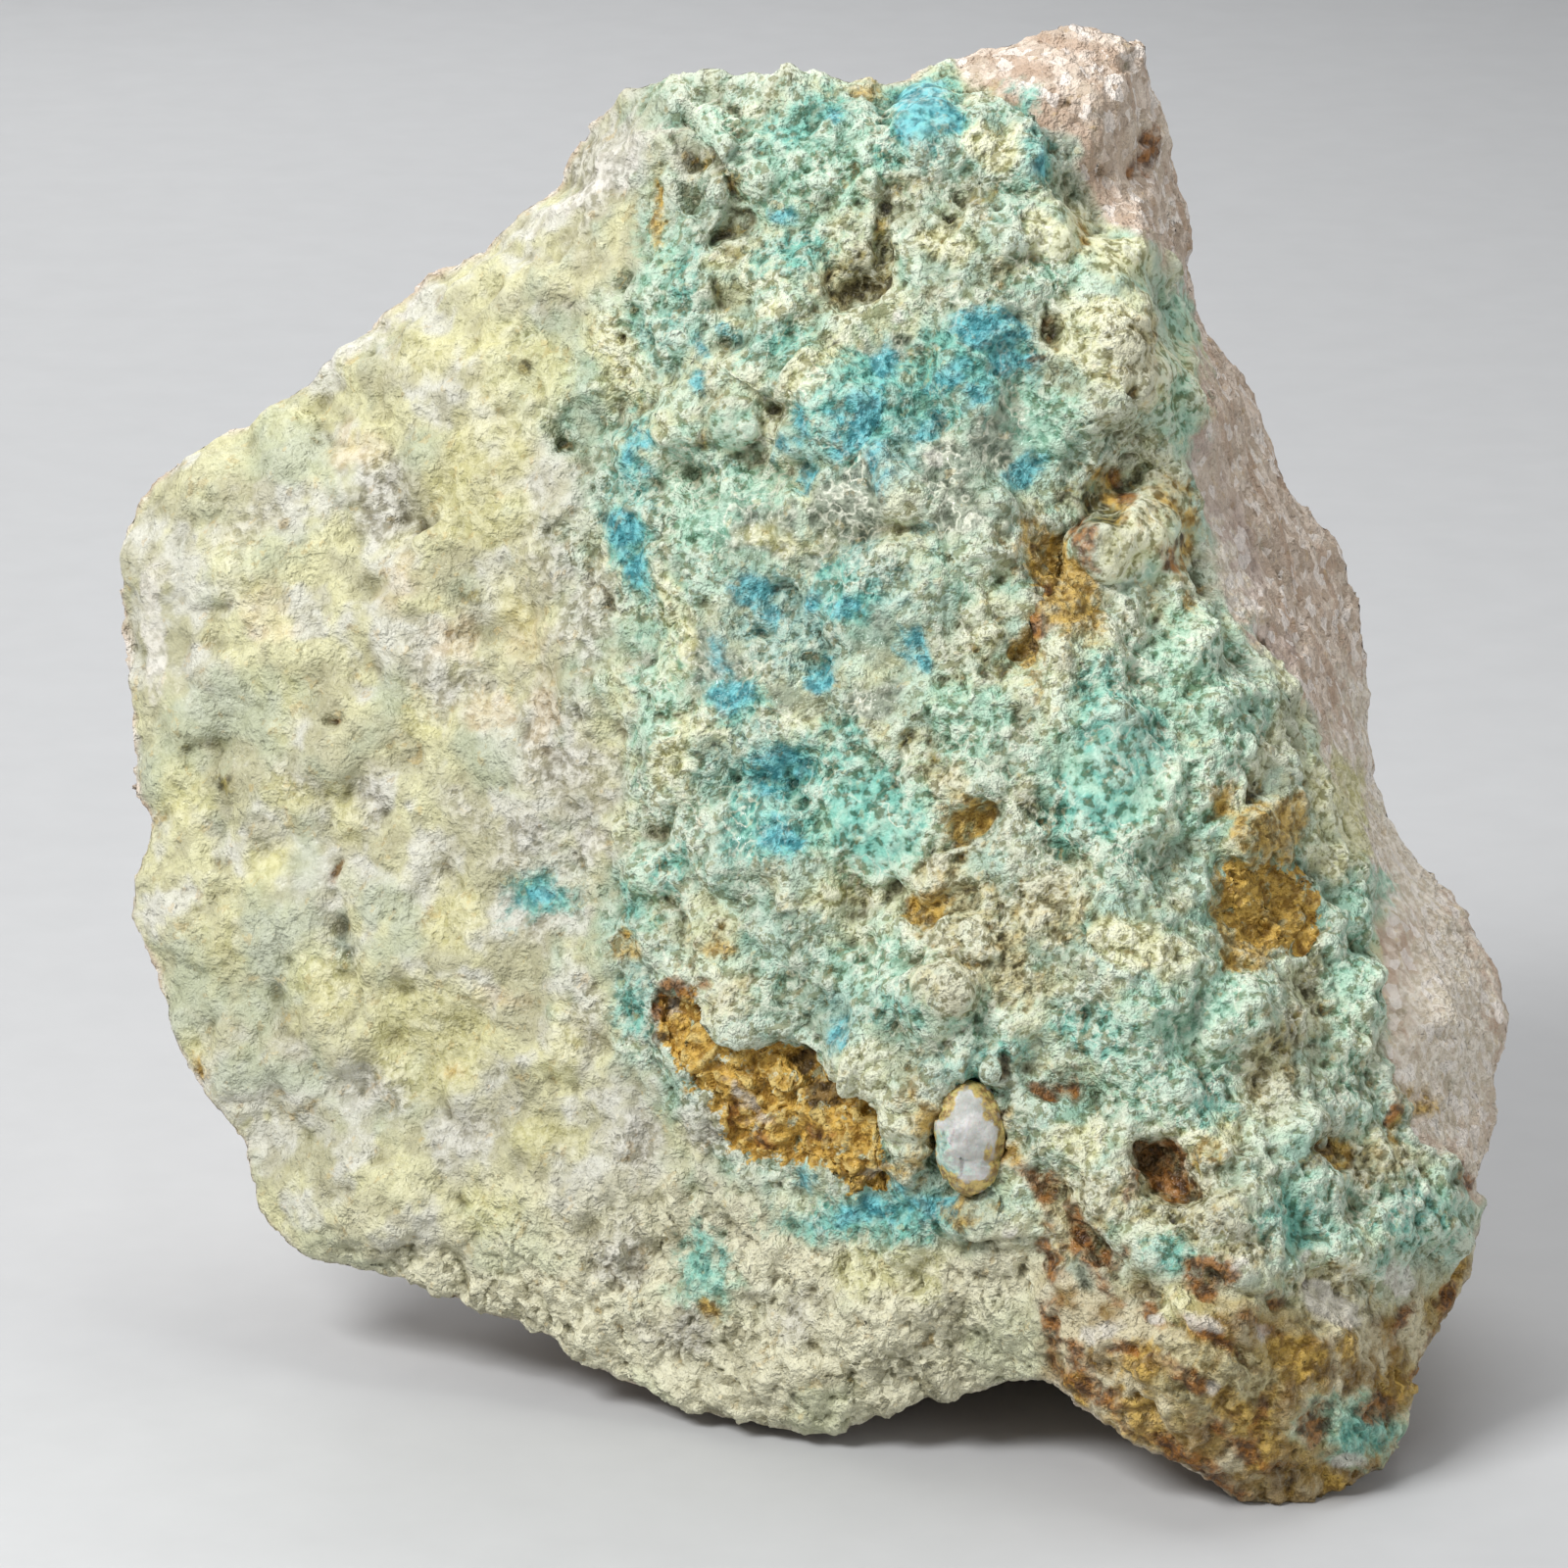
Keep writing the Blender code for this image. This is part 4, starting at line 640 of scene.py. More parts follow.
# Where loose crumbs have filled a crevice of the solid: the patches, and how high they stand.
FILLED = [
    (8.6, 6.9, 1.2, 1.2, 30), (7.5, 4.8, 0.9, 1.8, 10), (3.2, -12, 0.5, 2), (5, -14.3, 1.2, 0.4),
    (4.8, -9.9, 1, 0.4), (6.3, -12.2, 0.35, 1.6), (5.7, 18.1, 0.5, 0.5),
]
FILL_HEIGHT = 0.7
# How much of each ball's height is used, how far loose crumbs stand up and dark holes sink in, and
# how much lower the relief is where the surface is calm.
BALL_SHARE = 0.6
CRUMB_RISE = 0.30
VUG_DROP = 0.10
CALM_SHARE = 0.65


def along(face, line):
    """Distance of each point from a line across the face."""
    near = np.full(len(face), 99.0)
    for (ax, ah), (bx, bh) in zip(line, line[1:]):
        reach = np.array([bx - ax, bh - ah])
        away = face - np.array([ax, ah])
        share = np.clip(away @ reach / (reach @ reach), 0.0, 1.0)
        near = np.minimum(near, np.linalg.norm(away - share[:, None] * reach, axis=1))
    return near


def grooves(bent):
    cut = np.zeros(len(bent))
    for depth, half_width, line in GROOVES:
        cut = np.maximum(cut, depth * (1.0 - ramp(along(bent, line), 0.1, half_width + 0.25)))
    return cut


def balls(face):
    rise = np.zeros(len(face))
    for x, h, radius, height in BALLS:
        away = np.hypot(face[:, 0] - x, face[:, 1] - h) / radius
        rise = np.maximum(rise, height * np.sqrt(np.clip(1.0 - away**2, 0.0, 1.0)))
    return rise


# Which way the quartzite's fibres run, and how much they are drawn out: in relief, in colour.
FIBRES = np.array(Euler((0.0, math.radians(-18.0), 0.0)).to_matrix())
DRAWN_OUT = np.array([1.0, 1.0, 0.6])
STREAKED = np.array([1.0, 1.0, 0.35])


# The relief of each mineral. Each term is a share, a noise, its size in mm, for the noises that
# have them the number of octaves, and a seed; the last number brings the mean back to about 0.
def crust_relief(at):
    return (
        0.66 * billow(at, 3.8, 2, 1) + 0.18 * billow(at, 1.5, 2, 2) + 0.34 * rough(at, 1.6, 4, 5)
        + 0.14 * grains(at, 0.75, 3) + 0.08 * facets(at, 0.5, 4) - 0.42
    )


def film_relief(at):
    return (
        0.52 * billow(at, 3.2, 2, 7) + 0.24 * billow(at, 1.4, 2, 8) + 0.08 * grains(at, 0.6, 9)
        + 0.20 * rough(at, 1.3, 3, 10) - 0.32
    )


def sugar_relief(at):
    return (
        0.12 * facets(at, 1.3, 21) + 0.10 * facets(at, 0.65, 22) + 0.07 * facets(at, 0.35, 23)
        + 0.26 * billow(at, 1.5, 3, 24) - 0.12
    )


def quartzite_relief(at):
    streaked = at @ FIBRES * DRAWN_OUT
    return (
        0.20 * facets(at, 4.5, 11) + 0.10 * facets(at, 2.0, 12) + 0.09 * facets(streaked, 0.7, 13)
        + 0.05 * facets(streaked, 0.35, 14) + 0.12 * rough(at, 1.6, 4, 15)
    )


def crumb_relief(at):
    return (
        0.14 * facets(at, 1.1, 17) + 0.16 * facets(at, 0.45, 18) + 0.14 * grains(at, 0.4, 20)
        + 0.50 * rough(at, 1.3, 4, 19) - 0.02
    )


def build_up(points, shares):
    """Height of the relief: each kind is worked out only where it has a share."""
    height = np.zeros(len(points))
    left = np.ones(len(points))
    for relief, share in shares:
        weight = left * share
        here = weight > 0.001
        height[here] += weight[here] * relief(points[here])
        left -= weight
    return height


# Mottling too wide to need nodes: its size in mm, a seed, and where it starts and is full.
MOTTLING = {
    "patchy": (2.2, 81, -0.36, 0.36), "other": (1.4, 82, -0.18, 0.45), "clouds": (3.1, 83, 0.0, 0.62),
    "wide": (1.1, 84, -0.8, 0.8), "mottle": (0.7, 85, -0.18, 0.62),
}


def dress(mesh, name):
    """Presses the relief into part of the skin and works out all of its masks."""
    points = read_vectors(mesh)
    normals = np.column_stack([read_values(mesh, axis) for axis in ("out_x", "out_y", "out_z")])
    normals /= np.linalg.norm(normals, axis=1)[:, None]
    face, facing = on_face(points), read_values(mesh, "facing")
    bent = bend(face, points)
    marks = grounds(face, bent, facing, rough(points, 1.1, 4, 40))
    for key, (reach, patches) in PATCHES.items():
        marks[key] = patch_mask(bent, patches, reach) * (1.0 if key == "beige" else facing)
    to_crumbs = np.minimum(
        read_values(mesh, "to_limonite_centre"), read_values(mesh, "to_limonite_right")
    )
    marks["crumb"] = 1.0 - ramp(to_crumbs, 0.3, 0.9)
    crust = ramp(read_values(mesh, "to_quartzite") - SWELL, 0.0, 0.5) * (1.0 - marks["bare"])
    soft_ground = 1.0 - np.maximum(marks["sugar"], marks["lobe"])
    smooth = patch_mask(bent, SMOOTH, 1.0)
    iron = 0.8 * np.maximum(marks["ochre"], marks["rust"]) * (1.0 - smooth)
    height = build_up(points, [
        (crumb_relief, np.maximum(marks["crumb"], np.maximum(iron, marks["vug"]))),
        (crust_relief, np.maximum(crust, marks["green"])),
        (quartzite_relief, marks["bare"]),
        (film_relief, soft_ground),
        (sugar_relief, np.ones(len(points))),
    ])
    calm = np.maximum(smooth, 0.7 * marks["grey"] * marks["green"]) * facing
    film = np.clip(1.0 - marks["bare"] - marks["green"] - marks["sugar"] - marks["lobe"], 0.0, 1.0)
    marks["calm"] = np.maximum(calm, np.maximum(0.6 * marks["mauve"], 0.45 * film))
    height *= 1.0 - CALM_SHARE * marks["calm"]
    filling = FILL_HEIGHT * patch_mask(bent, FILLED, 1.0)
    height += (BALL_SHARE * balls(face) - grooves(bent) + filling) * facing
    height += CRUMB_RISE * marks["crumb"] - VUG_DROP * marks["vug"]
    for key, (size, seed, start, full) in MOTTLING.items():
        marks[key] = ramp(rough(points, size, 4, seed), start, full)
    marks["streaks"] = ramp(rough(points @ FIBRES * STREAKED, 0.6, 4, 86), -0.18, 0.62)
    shaped = points + normals * height[:, None]
    shaped[:, 2] = np.maximum(shaped[:, 2], 0.0)
    mesh.vertices.foreach_set("co", shaped.astype(np.float32).ravel())
    mesh.update()
    marks["pit"], marks["hollow"] = hollows(mesh, shaped)
    for key, value in marks.items():
        write_values(mesh, key, value)
    print(f"{name}: relief from {height.min():.2f} to {height.max():.2f} mm")


# %% [markdown]
# ## Hollows
# Hollows are painted darker as painted shade, and crowns paler as a painted highlight. A hollow is
# found by smoothing a copy of the surface: where the copy floats above the surface, there is a
# hollow. Two amounts of smoothing find small pits and wide ones.

# %% Finding hollows


def hollows(mesh, points):
    """How deep each point lies below a little and below much smoothing, in mm; negative on crowns."""
    links, out = links_of(mesh), read_vectors(mesh, "normals")
    near = np.column_stack([evened(points[:, axis], links, 8) for axis in range(3)])
    wide = np.column_stack([evened(near[:, axis], links, 52) for axis in range(3)])
    return ((near - points) * out).sum(axis=1), ((wide - points) * out).sum(axis=1)


dress(fine, "front")
dress(back, "back")

# %% [markdown]
# ## Stray patches
# Along a rough border the nearest solid changes back and forth, which would leave patches of a few
# faces stranded inside another piece. Faces that share an edge are linked, the islands they form
# are numbered, and an island smaller than SMALLEST, in square millimetres, goes to the piece
# around it.

# %% Finding strays
SMALLEST = 8.0


def neighbours(quads):
    """Pairs of faces that share an edge."""
    ends = np.sort(np.stack([quads, np.roll(quads, -1, axis=1)], axis=-1), axis=-1).reshape(-1, 2)
    keys = ends[:, 0].astype(np.int64) * (quads.max() + 1) + ends[:, 1]
    order = np.argsort(keys, kind="stable")
    same = keys[order][1:] == keys[order][:-1]
    faces = order // 4
    return faces[:-1][same], faces[1:][same]


def islands(a, b, count):
    """A number for each face, the same for all faces that the pairs link together."""
    root = np.arange(count)
    while True:
        lowest = np.minimum(root[a], root[b])
        joined = root.copy()
        np.minimum.at(joined, root[a], lowest)
        np.minimum.at(joined, root[b], lowest)
        joined = joined[joined]
        if (joined == root).all():
            return root
        root = joined


def without_strays(part, quads):
    """The part of each face, with islands that are too small given to the part around them."""
    a, b = neighbours(quads)
    inner = part[a] == part[b]
    island = islands(a[inner], b[inner], len(quads))
    size = np.bincount(island, minlength=len(quads)) * (VOXEL / 2.0) ** 2
    part = part.copy()
    for stray in np.flatnonzero((size > 0.0) & (size < SMALLEST)):
        beyond = b[(island[a] == stray) & ~inner], a[(island[b] == stray) & ~inner]
        around = part[np.concatenate(beyond)]
        if len(around):
            part[island == stray] = np.bincount(around).argmax()
    return part

# %% [markdown]
# ## Cutting the skin into pieces
# Each solid of the frame gets a piece of the skin in its place, cut where that solid is the
# nearest one. The stone and the crust are large, so each is cut once more along a line that is
# easy to name: the left face, the foot and the side of the stone, and the upper and lower crust.

# %% Cutting
STANDS_FOR = {
    "left_face": "quartzite", "foot": "quartzite", "right_side": "quartzite",
    "upper_crust": "mansfieldite_crust", "lower_crust": "mansfieldite_crust",
    "limonite_bed": "limonite_centre", "limonite_spot": "limonite_right",
}
# The heights on the face where the stone and the crust are cut once more.
FOOT_TOP = -8.0
CRUST_MIDDLE = 3.0


def piece_from(mesh, name):
    """An object in metres with the given skin."""
    mesh.vertices.foreach_set("co", (read_vectors(mesh) * MM).astype(np.float32).ravel())
    mesh.shade_smooth()
    mesh.update()
    piece = bpy.data.objects.new(name, mesh)
    bpy.context.collection.objects.link(piece)
    print(f"{name}: {2 * len(mesh.polygons)} triangles")
    return piece


fine_quads = quads_of(fine)
fine_links = links_of(fine)
nearness = [evened(read_values(fine, "to_" + solid), fine_links, 8) for solid in SKINNED]
owner = np.array([values[fine_quads].mean(axis=1) for values in nearness]).argmin(axis=0)
middles = on_face(read_vectors(fine)[fine_quads].mean(axis=1))
low = middles[:, 1] < FOOT_TOP
right = middles[:, 0] > np.interp(middles[:, 1], *RIGHT_BORDER) - 0.5
upper = middles[:, 1] > CRUST_MIDDLE
NAMES = list(STANDS_FOR)
part = np.where(low, NAMES.index("foot"), NAMES.index("left_face"))
part[right] = NAMES.index("right_side")
part[owner == 1] = NAMES.index("lower_crust")
part[(owner == 1) & upper] = NAMES.index("upper_crust")
part[owner == 2] = NAMES.index("limonite_bed")
part[owner == 3] = NAMES.index("limonite_spot")
part = without_strays(part, fine_quads)
pieces = {}
for number, name in enumerate(NAMES):
    pieces[name] = piece_from(taken(fine, fine_quads[part == number], name), name)
pieces["back_and_base"] = piece_from(back, "back_and_base")
STANDS_FOR["back_and_base"] = "quartzite"

# %% [markdown]
# ## The pale grain
# One worn oval grain of quartz sits in the crust. It is its own solid in the frame, so its mesh is
# subdivided until it is round, swollen until it fills its bed, and given the faint dents of a worn
# grain.

# %% Quartz grain
GRAIN_SWELL = 0.16


def quartz_grain():
    shape = solid_shape(["quartz_grain"])
    mesh = bpy.data.meshes.new("grain")
    shape.to_mesh(mesh)
    shape.free()
    round_mesh = with_modifiers(mesh, ("SUBSURF", {"levels": 3, "render_levels": 3}))
    at, out = read_vectors(round_mesh), read_vectors(round_mesh, "normals")
    dents = GRAIN_SWELL + 0.08 * rough(at, 1.3, 4, 70) + 0.14 * facets(at, 1.2, 71)
    round_mesh.vertices.foreach_set("co", (at + out * dents[:, None]).astype(np.float32).ravel())
    around = on_face(at) - on_face(at).mean(axis=0)
    rim = np.hypot(around[:, 0] / 1.0, around[:, 1] / 1.7)
    left = -around[:, 0] - 0.3 * around[:, 1]
    write_values(round_mesh, "rim", rim + 0.35 * rough(at, 0.7, 3, 72))
    write_values(round_mesh, "left", left + 0.3 * rough(at, 0.5, 3, 73))
    return piece_from(round_mesh, "pale_grain")


pieces["pale_grain"] = quartz_grain()
STANDS_FOR["pale_grain"] = "quartz_grain"

# %% [markdown]
# ## Finishes
# Every finish is built from the same few nodes. Noises at grain size break up each colour, and a
# stack of layers lays one mineral over the next. A mask doesn't say where a mineral stops, but how
# many of the grains it covers, so that it thins out towards its edge as a real film does. A layer
# has a dark and a light tone, so that even a plain patch is never one flat colour.

# %% Node helpers


def tone(red, green, blue):
    """A colour from the 0 to 255 numbers of a paint chart, as the linear numbers nodes want."""
    share = np.array([red, green, blue]) / 255.0
    linear = np.where(share <= 0.04045, share / 12.92, ((share + 0.055) / 1.055) ** 2.4)
    return (*linear, 1.0)


class Finish:
    """A material under construction: small verbs for the nodes that every finish here uses."""

    def __init__(self, name):
        self.material = bpy.data.materials.new(name)
        self.material.use_nodes = True
        self.tree = self.material.node_tree
        self.shader = self.tree.nodes["Principled BSDF"]
        self.place = self.node("ShaderNodeTexCoord").outputs["Object"]

    def node(self, kind, **settings):
        made = self.tree.nodes.new(kind)
        for key, value in settings.items():
            setattr(made, key, value)
        return made

    def feed(self, socket, value):
        """Links or sets a socket; three numbers are a colour from the paint chart."""
        if isinstance(value, bpy.types.NodeSocket):
            self.tree.links.new(value, socket)
        elif isinstance(value, tuple):
            socket.default_value = tone(*value)
        else:
            socket.default_value = value

    def mask(self, name):
        return self.node("ShaderNodeAttribute", attribute_name=name).outputs["Fac"]

    def drawn_out(self, degrees, times):
        """The place, so changed that what is drawn at it comes out in streaks, times as long."""
        made = self.node("ShaderNodeMapping", vector_type="TEXTURE")
        self.feed(made.inputs["Vector"], self.place)
        made.inputs["Rotation"].default_value = (0.0, math.radians(degrees), 0.0)
        made.inputs["Scale"].default_value = (1.0, 1.0, times)
        return made.outputs[0]

    def noise(self, size_mm, detail=3.0, roughness=0.6, place=None):
        """Noise with features of the given size."""
        made = self.node("ShaderNodeTexNoise")
        self.feed(made.inputs["Vector"], place or self.place)
        made.inputs["Scale"].default_value = 1.0 / (size_mm * MM)
        made.inputs["Detail"].default_value = detail
        made.inputs["Roughness"].default_value = roughness
        return made.outputs["Fac"]

    def grain(self, size_mm):
        """Cells of the given size, each with a chance colour."""
        made = self.node("ShaderNodeTexVoronoi")
        self.feed(made.inputs["Vector"], self.place)
        made.inputs["Scale"].default_value = 1.0 / (size_mm * MM)
        return made.outputs["Color"]

    def math(self, operation, a, b=0.0):
        made = self.node("ShaderNodeMath", operation=operation)
        self.feed(made.inputs[0], a)
        self.feed(made.inputs[1], b)
        return made.outputs[0]

    def times(self, a, b):
        return self.math("MULTIPLY", a, b)

    def plus(self, a, b):
        return self.math("ADD", a, b)

    def minus(self, a, b):
        return self.math("SUBTRACT", a, b)

    def most(self, a, b):
        return self.math("MAXIMUM", a, b)

    def between(self, value, low, high, start=0.0, end=1.0):
        """A smooth step from start to end as the value goes from low to high."""
        made = self.node("ShaderNodeMapRange", interpolation_type="SMOOTHSTEP")
        for number, entry in enumerate((value, low, high, start, end)):
            self.feed(made.inputs[number], entry)
        return made.outputs[0]

    def mix(self, share, a, b, blend="MIX"):
        made = self.node("ShaderNodeMix", data_type="RGBA", blend_type=blend)
        self.feed(made.inputs[0], share)
        self.feed(made.inputs[6], a)
        self.feed(made.inputs[7], b)
        return made.outputs[2]

    def veins(self, value, width):
        """1 along thin winding lines, where the noise passes its middle."""
        return self.between(self.math("ABSOLUTE", self.minus(value, 0.5)), width, 0.0)

    def layer(self, under, mask, dark, light, fray, edge=0.25, amount=1.0):
        """Lays a mineral over the grains that the mask and the fray together lift above one."""
        cover = self.plus(self.between(mask, 0.0, 1.0, -edge, 1.05), fray)
        share = self.between(cover, 1.0 - edge, 1.0 + edge, 0.0, amount)
        return self.mix(share, under, self.mix(self.speckle, dark, light))

    def washes(self, colour, washes):
        """Lays one thin wash after the other: where it lies, how strong it is, and its tone."""
        for share, amount, wash in washes:
            colour = self.mix(self.times(share, amount), colour, wash)
        return colour

    def films(self, colour, films):
        """Lays one film after the other, each where the mask of its name says."""
        for name, dark, light, fray, edge, amount in films:
            colour = self.layer(colour, self.mask(name), dark, light, fray, edge, amount)
        return colour

    def facet_normal(self, cell, tilt):
        """A normal that tips a little another way in each cell, which makes the grains glint."""
        middle = self.node("ShaderNodeVectorMath", operation="SUBTRACT")
        self.feed(middle.inputs[0], cell)
        middle.inputs[1].default_value = (0.5, 0.5, 0.5)
        scaled = self.node("ShaderNodeVectorMath", operation="SCALE")
        self.feed(scaled.inputs[0], middle.outputs[0])
        self.feed(scaled.inputs["Scale"], tilt)
        added = self.node("ShaderNodeVectorMath", operation="ADD")
        self.feed(added.inputs[0], scaled.outputs[0])
        self.feed(added.inputs[1], self.node("ShaderNodeNewGeometry").outputs["Normal"])
        unit = self.node("ShaderNodeVectorMath", operation="NORMALIZE")
        self.feed(unit.inputs[0], added.outputs[0])
        return unit.outputs[0]

    def bump(self, height, distance_mm, normal=None, strength=1.0):
        made = self.node("ShaderNodeBump")
        made.inputs["Strength"].default_value = strength
        made.inputs["Distance"].default_value = distance_mm * MM
        self.feed(made.inputs["Height"], height)
        if normal is not None:
            self.feed(made.inputs["Normal"], normal)
        self.feed(self.shader.inputs["Normal"], made.outputs[0])


# %% [markdown]
# ## The stone's finish
# The stone has one finish all over, because its films run across every border between the pieces.
# The grounds come first, then the films from the widest to the rarest, and last a painted highlight
# on the crowns, white filigree, painted shade in the pits and hollows, iron stains and the odd dark
# hole, painted dark as the shade inside it. Mottling wider than half a millimetre is written on the
# points of the mesh, where it costs no time to render.

# %% The stone's finish


def stone_grounds(look):
    """The five grounds, each its own mixture, laid side by side."""
    bare = look.mix(look.crystals, (190, 170, 150), (234, 218, 202))
    bare = look.washes(bare, [
        (look.streaks, 0.7, (188, 160, 136)), (look.clouds, 0.5, (222, 208, 186)),
    ])
    bare = look.films(bare, [
        ("mauve", (162, 142, 132), (192, 174, 164), look.wide, 0.6, 0.75),
        ("beige", (206, 194, 172), (238, 230, 216), look.fine, 0.5, 0.9),
    ])
    bare = look.washes(bare, [(look.sparkle, 0.5, (246, 240, 234))])

    film = look.mix(look.patchy, (182, 179, 146), (210, 207, 164))
    film = look.washes(film, [
        (look.other, 0.85, (210, 209, 198)), (look.mottle, 0.6, (168, 163, 130)),
        (look.clouds, 0.7, (178, 186, 158)),
    ])

    sugar = look.mix(look.crystals, (156, 151, 122), (222, 218, 188))
    sugar = look.washes(sugar, [
        (look.patchy, 0.7, (228, 224, 194)), (look.clouds, 0.5, (202, 208, 172)),
    ])

    lobe = look.mix(look.patchy, (186, 164, 104), (142, 112, 50))
    lobe = look.washes(lobe, [
        (look.mottle, 0.7, (96, 68, 20)), (look.other, 0.95, (212, 202, 168)),
    ])

    green = look.mix(look.patchy, (144, 182, 160), (206, 210, 172))
    green = look.washes(green, [
        (look.other, 0.6, (146, 156, 134)), (look.mottle, 0.6, (192, 220, 202)),
    ])

    colour = look.mix(look.mask("sugar"), film, sugar)
    colour = look.mix(look.mask("lobe"), colour, lobe)
    colour = look.mix(look.mask("bare"), colour, bare)
    return look.mix(look.mask("green"), colour, green)


def stone_films(look, colour):
    """The films over the grounds, from the widest to the rarest."""
    films = [
        ("turquoise", (88, 146, 146), (158, 196, 186), look.fine, 0.9, 0.85),
        ("ash", (136, 130, 112), (212, 209, 199), look.wide, 0.9, 0.8),
        ("grey", (82, 94, 78), (150, 160, 140), look.wide, 0.5, 0.9),
        ("cream", (190, 186, 126), (230, 227, 184), look.wide, 0.5, 0.85),
        ("tan", (128, 114, 66), (204, 194, 148), look.fine, 0.8, 0.9),
        ("peach", (206, 178, 132), (226, 210, 176), look.wide, 0.6, 0.45),
        ("sulphur", (200, 194, 122), (226, 221, 166), look.wide, 0.9, 0.55),
        ("mint", (118, 176, 150), (180, 218, 194), look.fine_turned, 0.8, 0.85),
        ("teal", (66, 142, 132), (124, 198, 180), look.fine, 0.7, 0.85),
        ("azure", (44, 128, 140), (116, 196, 202), look.fine_turned, 0.7, 0.95),
        ("olive", (64, 58, 14), (138, 126, 60), look.fine, 0.7, 0.9),
    ]
    return look.films(colour, films)


def stone_shading_and_stains(look, colour):
    """Painted highlight on the crowns, white filigree, painted shade in the pits and hollows, iron
    and the odd dark hole.
    """
    pit, hollow = look.mask("pit"), look.mask("hollow")
    plain = look.most(look.mask("bare"), look.most(look.mask("azure"), look.mask("grey")))
    plain = look.between(plain, 0.0, 1.0, 1.0, 0.3)
    # Painted highlight: crowns, found from the pit measure, are lightened towards white.
    crown_highlight = look.between(look.minus(pit, look.times(look.wide, 0.04)), 0.0, -0.08, 0.0, 0.5)
    filigree = look.times(look.veins(look.noise(0.85, 2.0, 0.6), 0.05), look.times(look.wide, 0.8))
    green = look.between(look.mask("green"), 0.0, 1.0, 0.2, 1.0)
    pale = look.times(look.most(look.times(crown_highlight, plain), filigree), green)
    pale = look.times(pale, look.between(look.mask("azure"), 0.0, 1.0, 1.0, 0.3))
    # Lays the painted highlight of the crowns and the real white filigree, both near-white.
    colour = look.mix(pale, colour, (236, 238, 218))

    grit = look.between(look.speckle, 0.30, 0.0, 0.0, 0.7)
    grit = look.times(look.times(grit, plain), green)
    colour = look.mix(grit, colour, (150, 144, 100), "MULTIPLY")
    # Painted shade: the pits are darkened with an olive tint.
    pit_shade = look.between(look.plus(pit, look.times(look.fine, 0.03)), 0.02, 0.12, 0.0, 0.65)
    pit_shade = look.times(pit_shade, plain)
    shade_tint = look.mix(look.patchy, (116, 112, 54), (128, 118, 86))
    colour = look.mix(pit_shade, colour, shade_tint, "MULTIPLY")
    # Painted shade: the wider hollows are darkened with a similar tint.
    shade = look.between(look.plus(hollow, look.times(look.wide, 0.10)), 0.08, 0.36, 0.0, 0.8)
    shade_tint = look.mix(look.patchy, (128, 126, 72), (140, 132, 98))
    colour = look.mix(shade, colour, shade_tint, "MULTIPLY")

    crumbs = look.mix(look.speckle, (146, 108, 32), (212, 172, 80))
    # The limonite crumbs get a painted highlight on their crowns and painted shade in their hollows.
    crumbs = look.mix(look.between(pit, 0.0, -0.10, 0.0, 0.8), crumbs, (222, 196, 122))
    crumbs = look.mix(look.between(hollow, 0.10, 0.50), crumbs, (84, 58, 18))
    crumbled = look.between(look.plus(look.mask("crumb"), look.fine), 0.9, 1.2)
    colour = look.mix(crumbled, colour, crumbs)
    colour = look.films(colour, [
        ("ochre", (130, 98, 26), (206, 170, 82), look.fine, 0.8, 0.9),
        ("rust", (76, 42, 8), (156, 100, 34), look.fine_turned, 0.7, 0.9),
        ("pale", (196, 192, 180), (230, 226, 216), look.fine, 0.8, 0.75),
    ])
    # Painted shade: the deepest hollows are darkened to a near-black brown.
    colour = look.mix(look.between(hollow, 0.45, 0.9, 0.0, 0.8), colour, (50, 40, 18))
    # Painted shade: the small holes are painted dark brown.
    return look.films(colour, [("vug", (44, 34, 14), (110, 84, 44), look.fine, 0.5, 0.85)])


def stone_finish(name):
    """The finish of the whole skin."""
    look = Finish(name)
    for key in (*MOTTLING, "streaks"):
        setattr(look, key, look.mask(key))
    tiny = look.noise(0.2, 2.0, 0.65)
    leaning, turned = look.drawn_out(35.0, 1.3), look.drawn_out(-60.0, 1.3)
    look.fine = look.between(look.noise(0.5, 3.0, 0.62, leaning), 0.32, 0.68)
    look.fine_turned = look.between(look.noise(0.6, 3.0, 0.62, turned), 0.32, 0.68)
    look.speckle = look.between(look.noise(0.34, 2.0, 0.6), 0.36, 0.64)
    cell = look.grain(0.38)
    look.crystals = look.between(look.plus(cell, look.times(tiny, 0.5)), 0.45, 1.05)
    look.sparkle = look.between(cell, 0.70, 0.76)
    colour = stone_shading_and_stains(look, stone_films(look, stone_grounds(look)))
    look.feed(look.shader.inputs["Base Color"], colour)

    glossy = look.most(look.mask("grey"), look.mask("mauve"))
    rough_ground = look.between(tiny, 0.35, 0.65, 0.40, 0.85)
    look.feed(look.shader.inputs["Roughness"], look.minus(rough_ground, look.times(glossy, 0.25)))
    relief = look.plus(look.times(tiny, 1.2), look.times(look.speckle, 0.45))
    relief = look.times(relief, look.between(look.mask("calm"), 0.0, 1.0, 1.0, 0.35))
    look.bump(relief, 0.14, look.facet_normal(cell, 0.45))
    return look.material


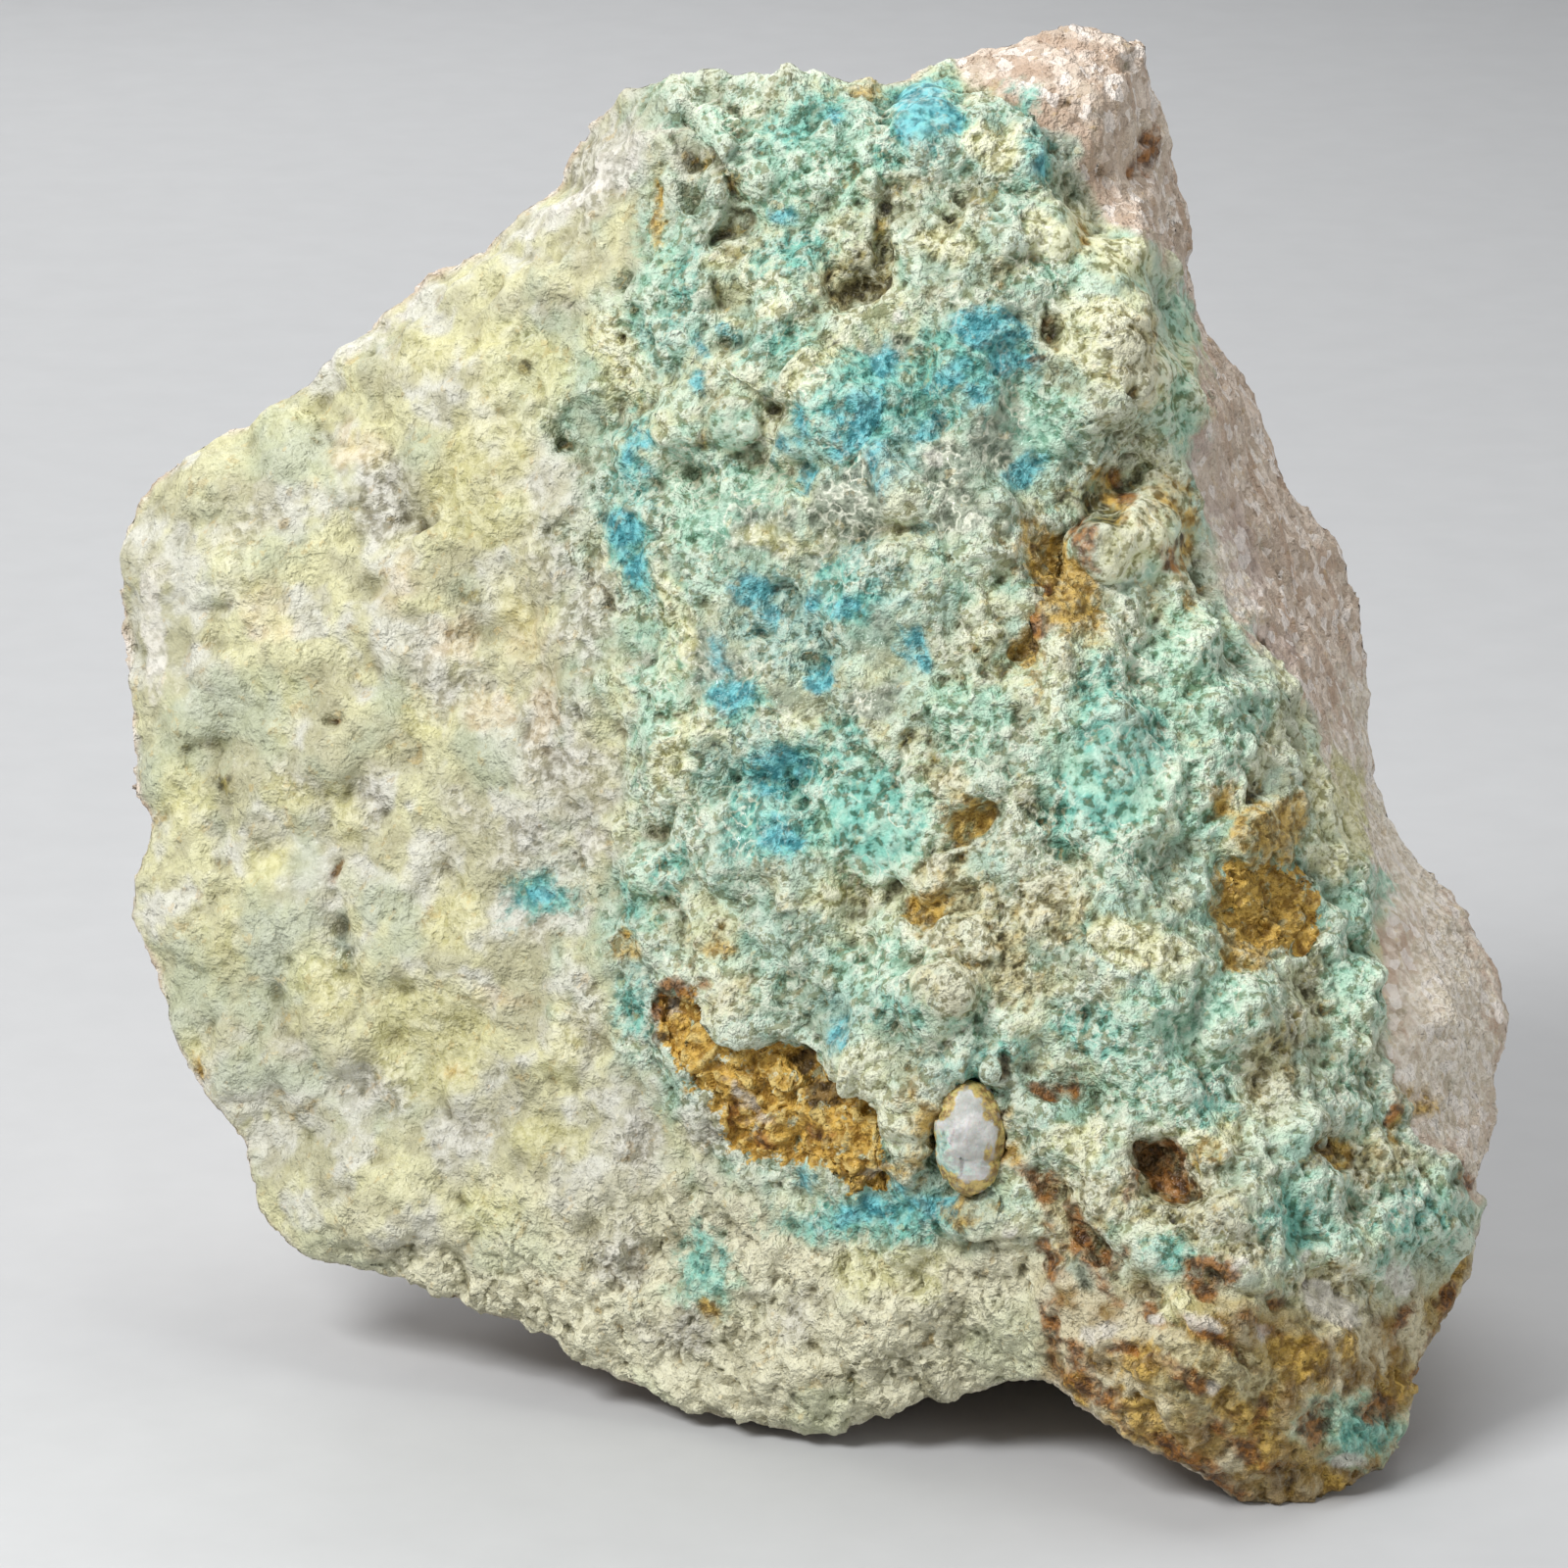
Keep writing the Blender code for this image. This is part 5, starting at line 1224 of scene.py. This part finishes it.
def grain_finish():
    look = Finish("pale quartz")
    fray = look.between(look.noise(0.4, 4.0), 0.3, 0.7)
    look.speckle = look.between(look.noise(0.2, 3.0), 0.35, 0.65)
    cloud = look.between(look.noise(0.7, 4.0), 0.35, 0.65)
    colour = look.mix(cloud, (172, 174, 168), (208, 207, 204))
    left = look.between(look.mask("left"), 0.0, 1.0)
    rim = look.between(look.mask("rim"), 0.55, 1.05)
    colour = look.layer(colour, left, (140, 182, 168), (200, 220, 206), fray, 0.4, 0.9)
    colour = look.layer(colour, rim, (128, 98, 40), (206, 184, 110), fray, 0.3, 0.95)
    look.feed(look.shader.inputs["Base Color"], colour)
    look.feed(look.shader.inputs["Roughness"], look.between(look.noise(0.3), 0.3, 0.7, 0.3, 0.6))
    look.bump(look.noise(0.2, 4.0), 0.06)
    look.shader.inputs["Subsurface Weight"].default_value = 0.3
    look.shader.inputs["Subsurface Scale"].default_value = 0.6 * MM
    return look.material


stone = stone_finish("stone")
for name, piece in pieces.items():
    piece.data.materials.clear()
    piece.data.materials.append(grain_finish() if name == "pale_grain" else stone)

# %% [markdown]
# ## Joining the frame
# Each piece rides on the frame's one body, and the solid it stands for is hidden.

# %% Riding and replacing
for name, solid in STANDS_FOR.items():
    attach(pieces[name], "root")
    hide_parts(solid)

# %% [markdown]
# ## Floor, light and camera
# A pale floor and wide soft lamps keep the colours honest. The camera looks square on to the
# leaning face.

# %% Stage
# How wide the view is at the face, and the point in its middle.
FRAME_WIDTH = 50.0
AIM = off_face(-0.875, -0.5625, 0.0)


def floor():
    bpy.ops.mesh.primitive_plane_add(size=4.0, location=(0, 0, 0))
    ground = bpy.context.object
    ground.name = "floor"
    look = Finish("pale floor")
    colour = look.mix(look.noise(3.0), (184, 185, 186), (192, 193, 194))
    look.feed(look.shader.inputs["Base Color"], colour)
    look.shader.inputs["Roughness"].default_value = 0.7
    ground.data.materials.append(look.material)


def soft_lamp(name, place, size, power):
    """A square lamp, placed in mm, that looks at the stone."""
    lamp = bpy.data.lights.new(name, "AREA")
    lamp.size = size * MM
    lamp.energy = power
    holder = bpy.data.objects.new(name, lamp)
    bpy.context.collection.objects.link(holder)
    holder.location = Vector(place) * MM
    aim = Vector(AIM) * MM - holder.location
    holder.rotation_euler = aim.to_track_quat("-Z", "Y").to_euler()


def make_camera():
    camera = bpy.data.cameras.new("camera")
    camera.lens = camera.sensor_width * SIGHT / FRAME_WIDTH
    camera.clip_start = 0.01
    holder = bpy.data.objects.new("camera", camera)
    bpy.context.collection.objects.link(holder)
    eye = off_face(0.0, 0.0, -SIGHT)
    holder.location = Vector(eye) * MM
    holder.rotation_euler = Vector(AIM - eye).to_track_quat("-Z", "Y").to_euler()
    bpy.context.scene.camera = holder


floor()
soft_lamp("key", (-130, -110, 190), 90, 0.58)
soft_lamp("fill", (170, -160, 90), 160, 0.13)
soft_lamp("top", (30, 60, 230), 140, 0.22)
soft_lamp("behind", (-60, 210, 120), 160, 0.16)
world = bpy.data.worlds.new("room")
world.use_nodes = True
world.node_tree.nodes["Background"].inputs["Color"].default_value = (0.80, 0.81, 0.83, 1.0)
world.node_tree.nodes["Background"].inputs["Strength"].default_value = 0.30
bpy.context.scene.world = world
bpy.context.scene.view_settings.view_transform = "Standard"
make_camera()
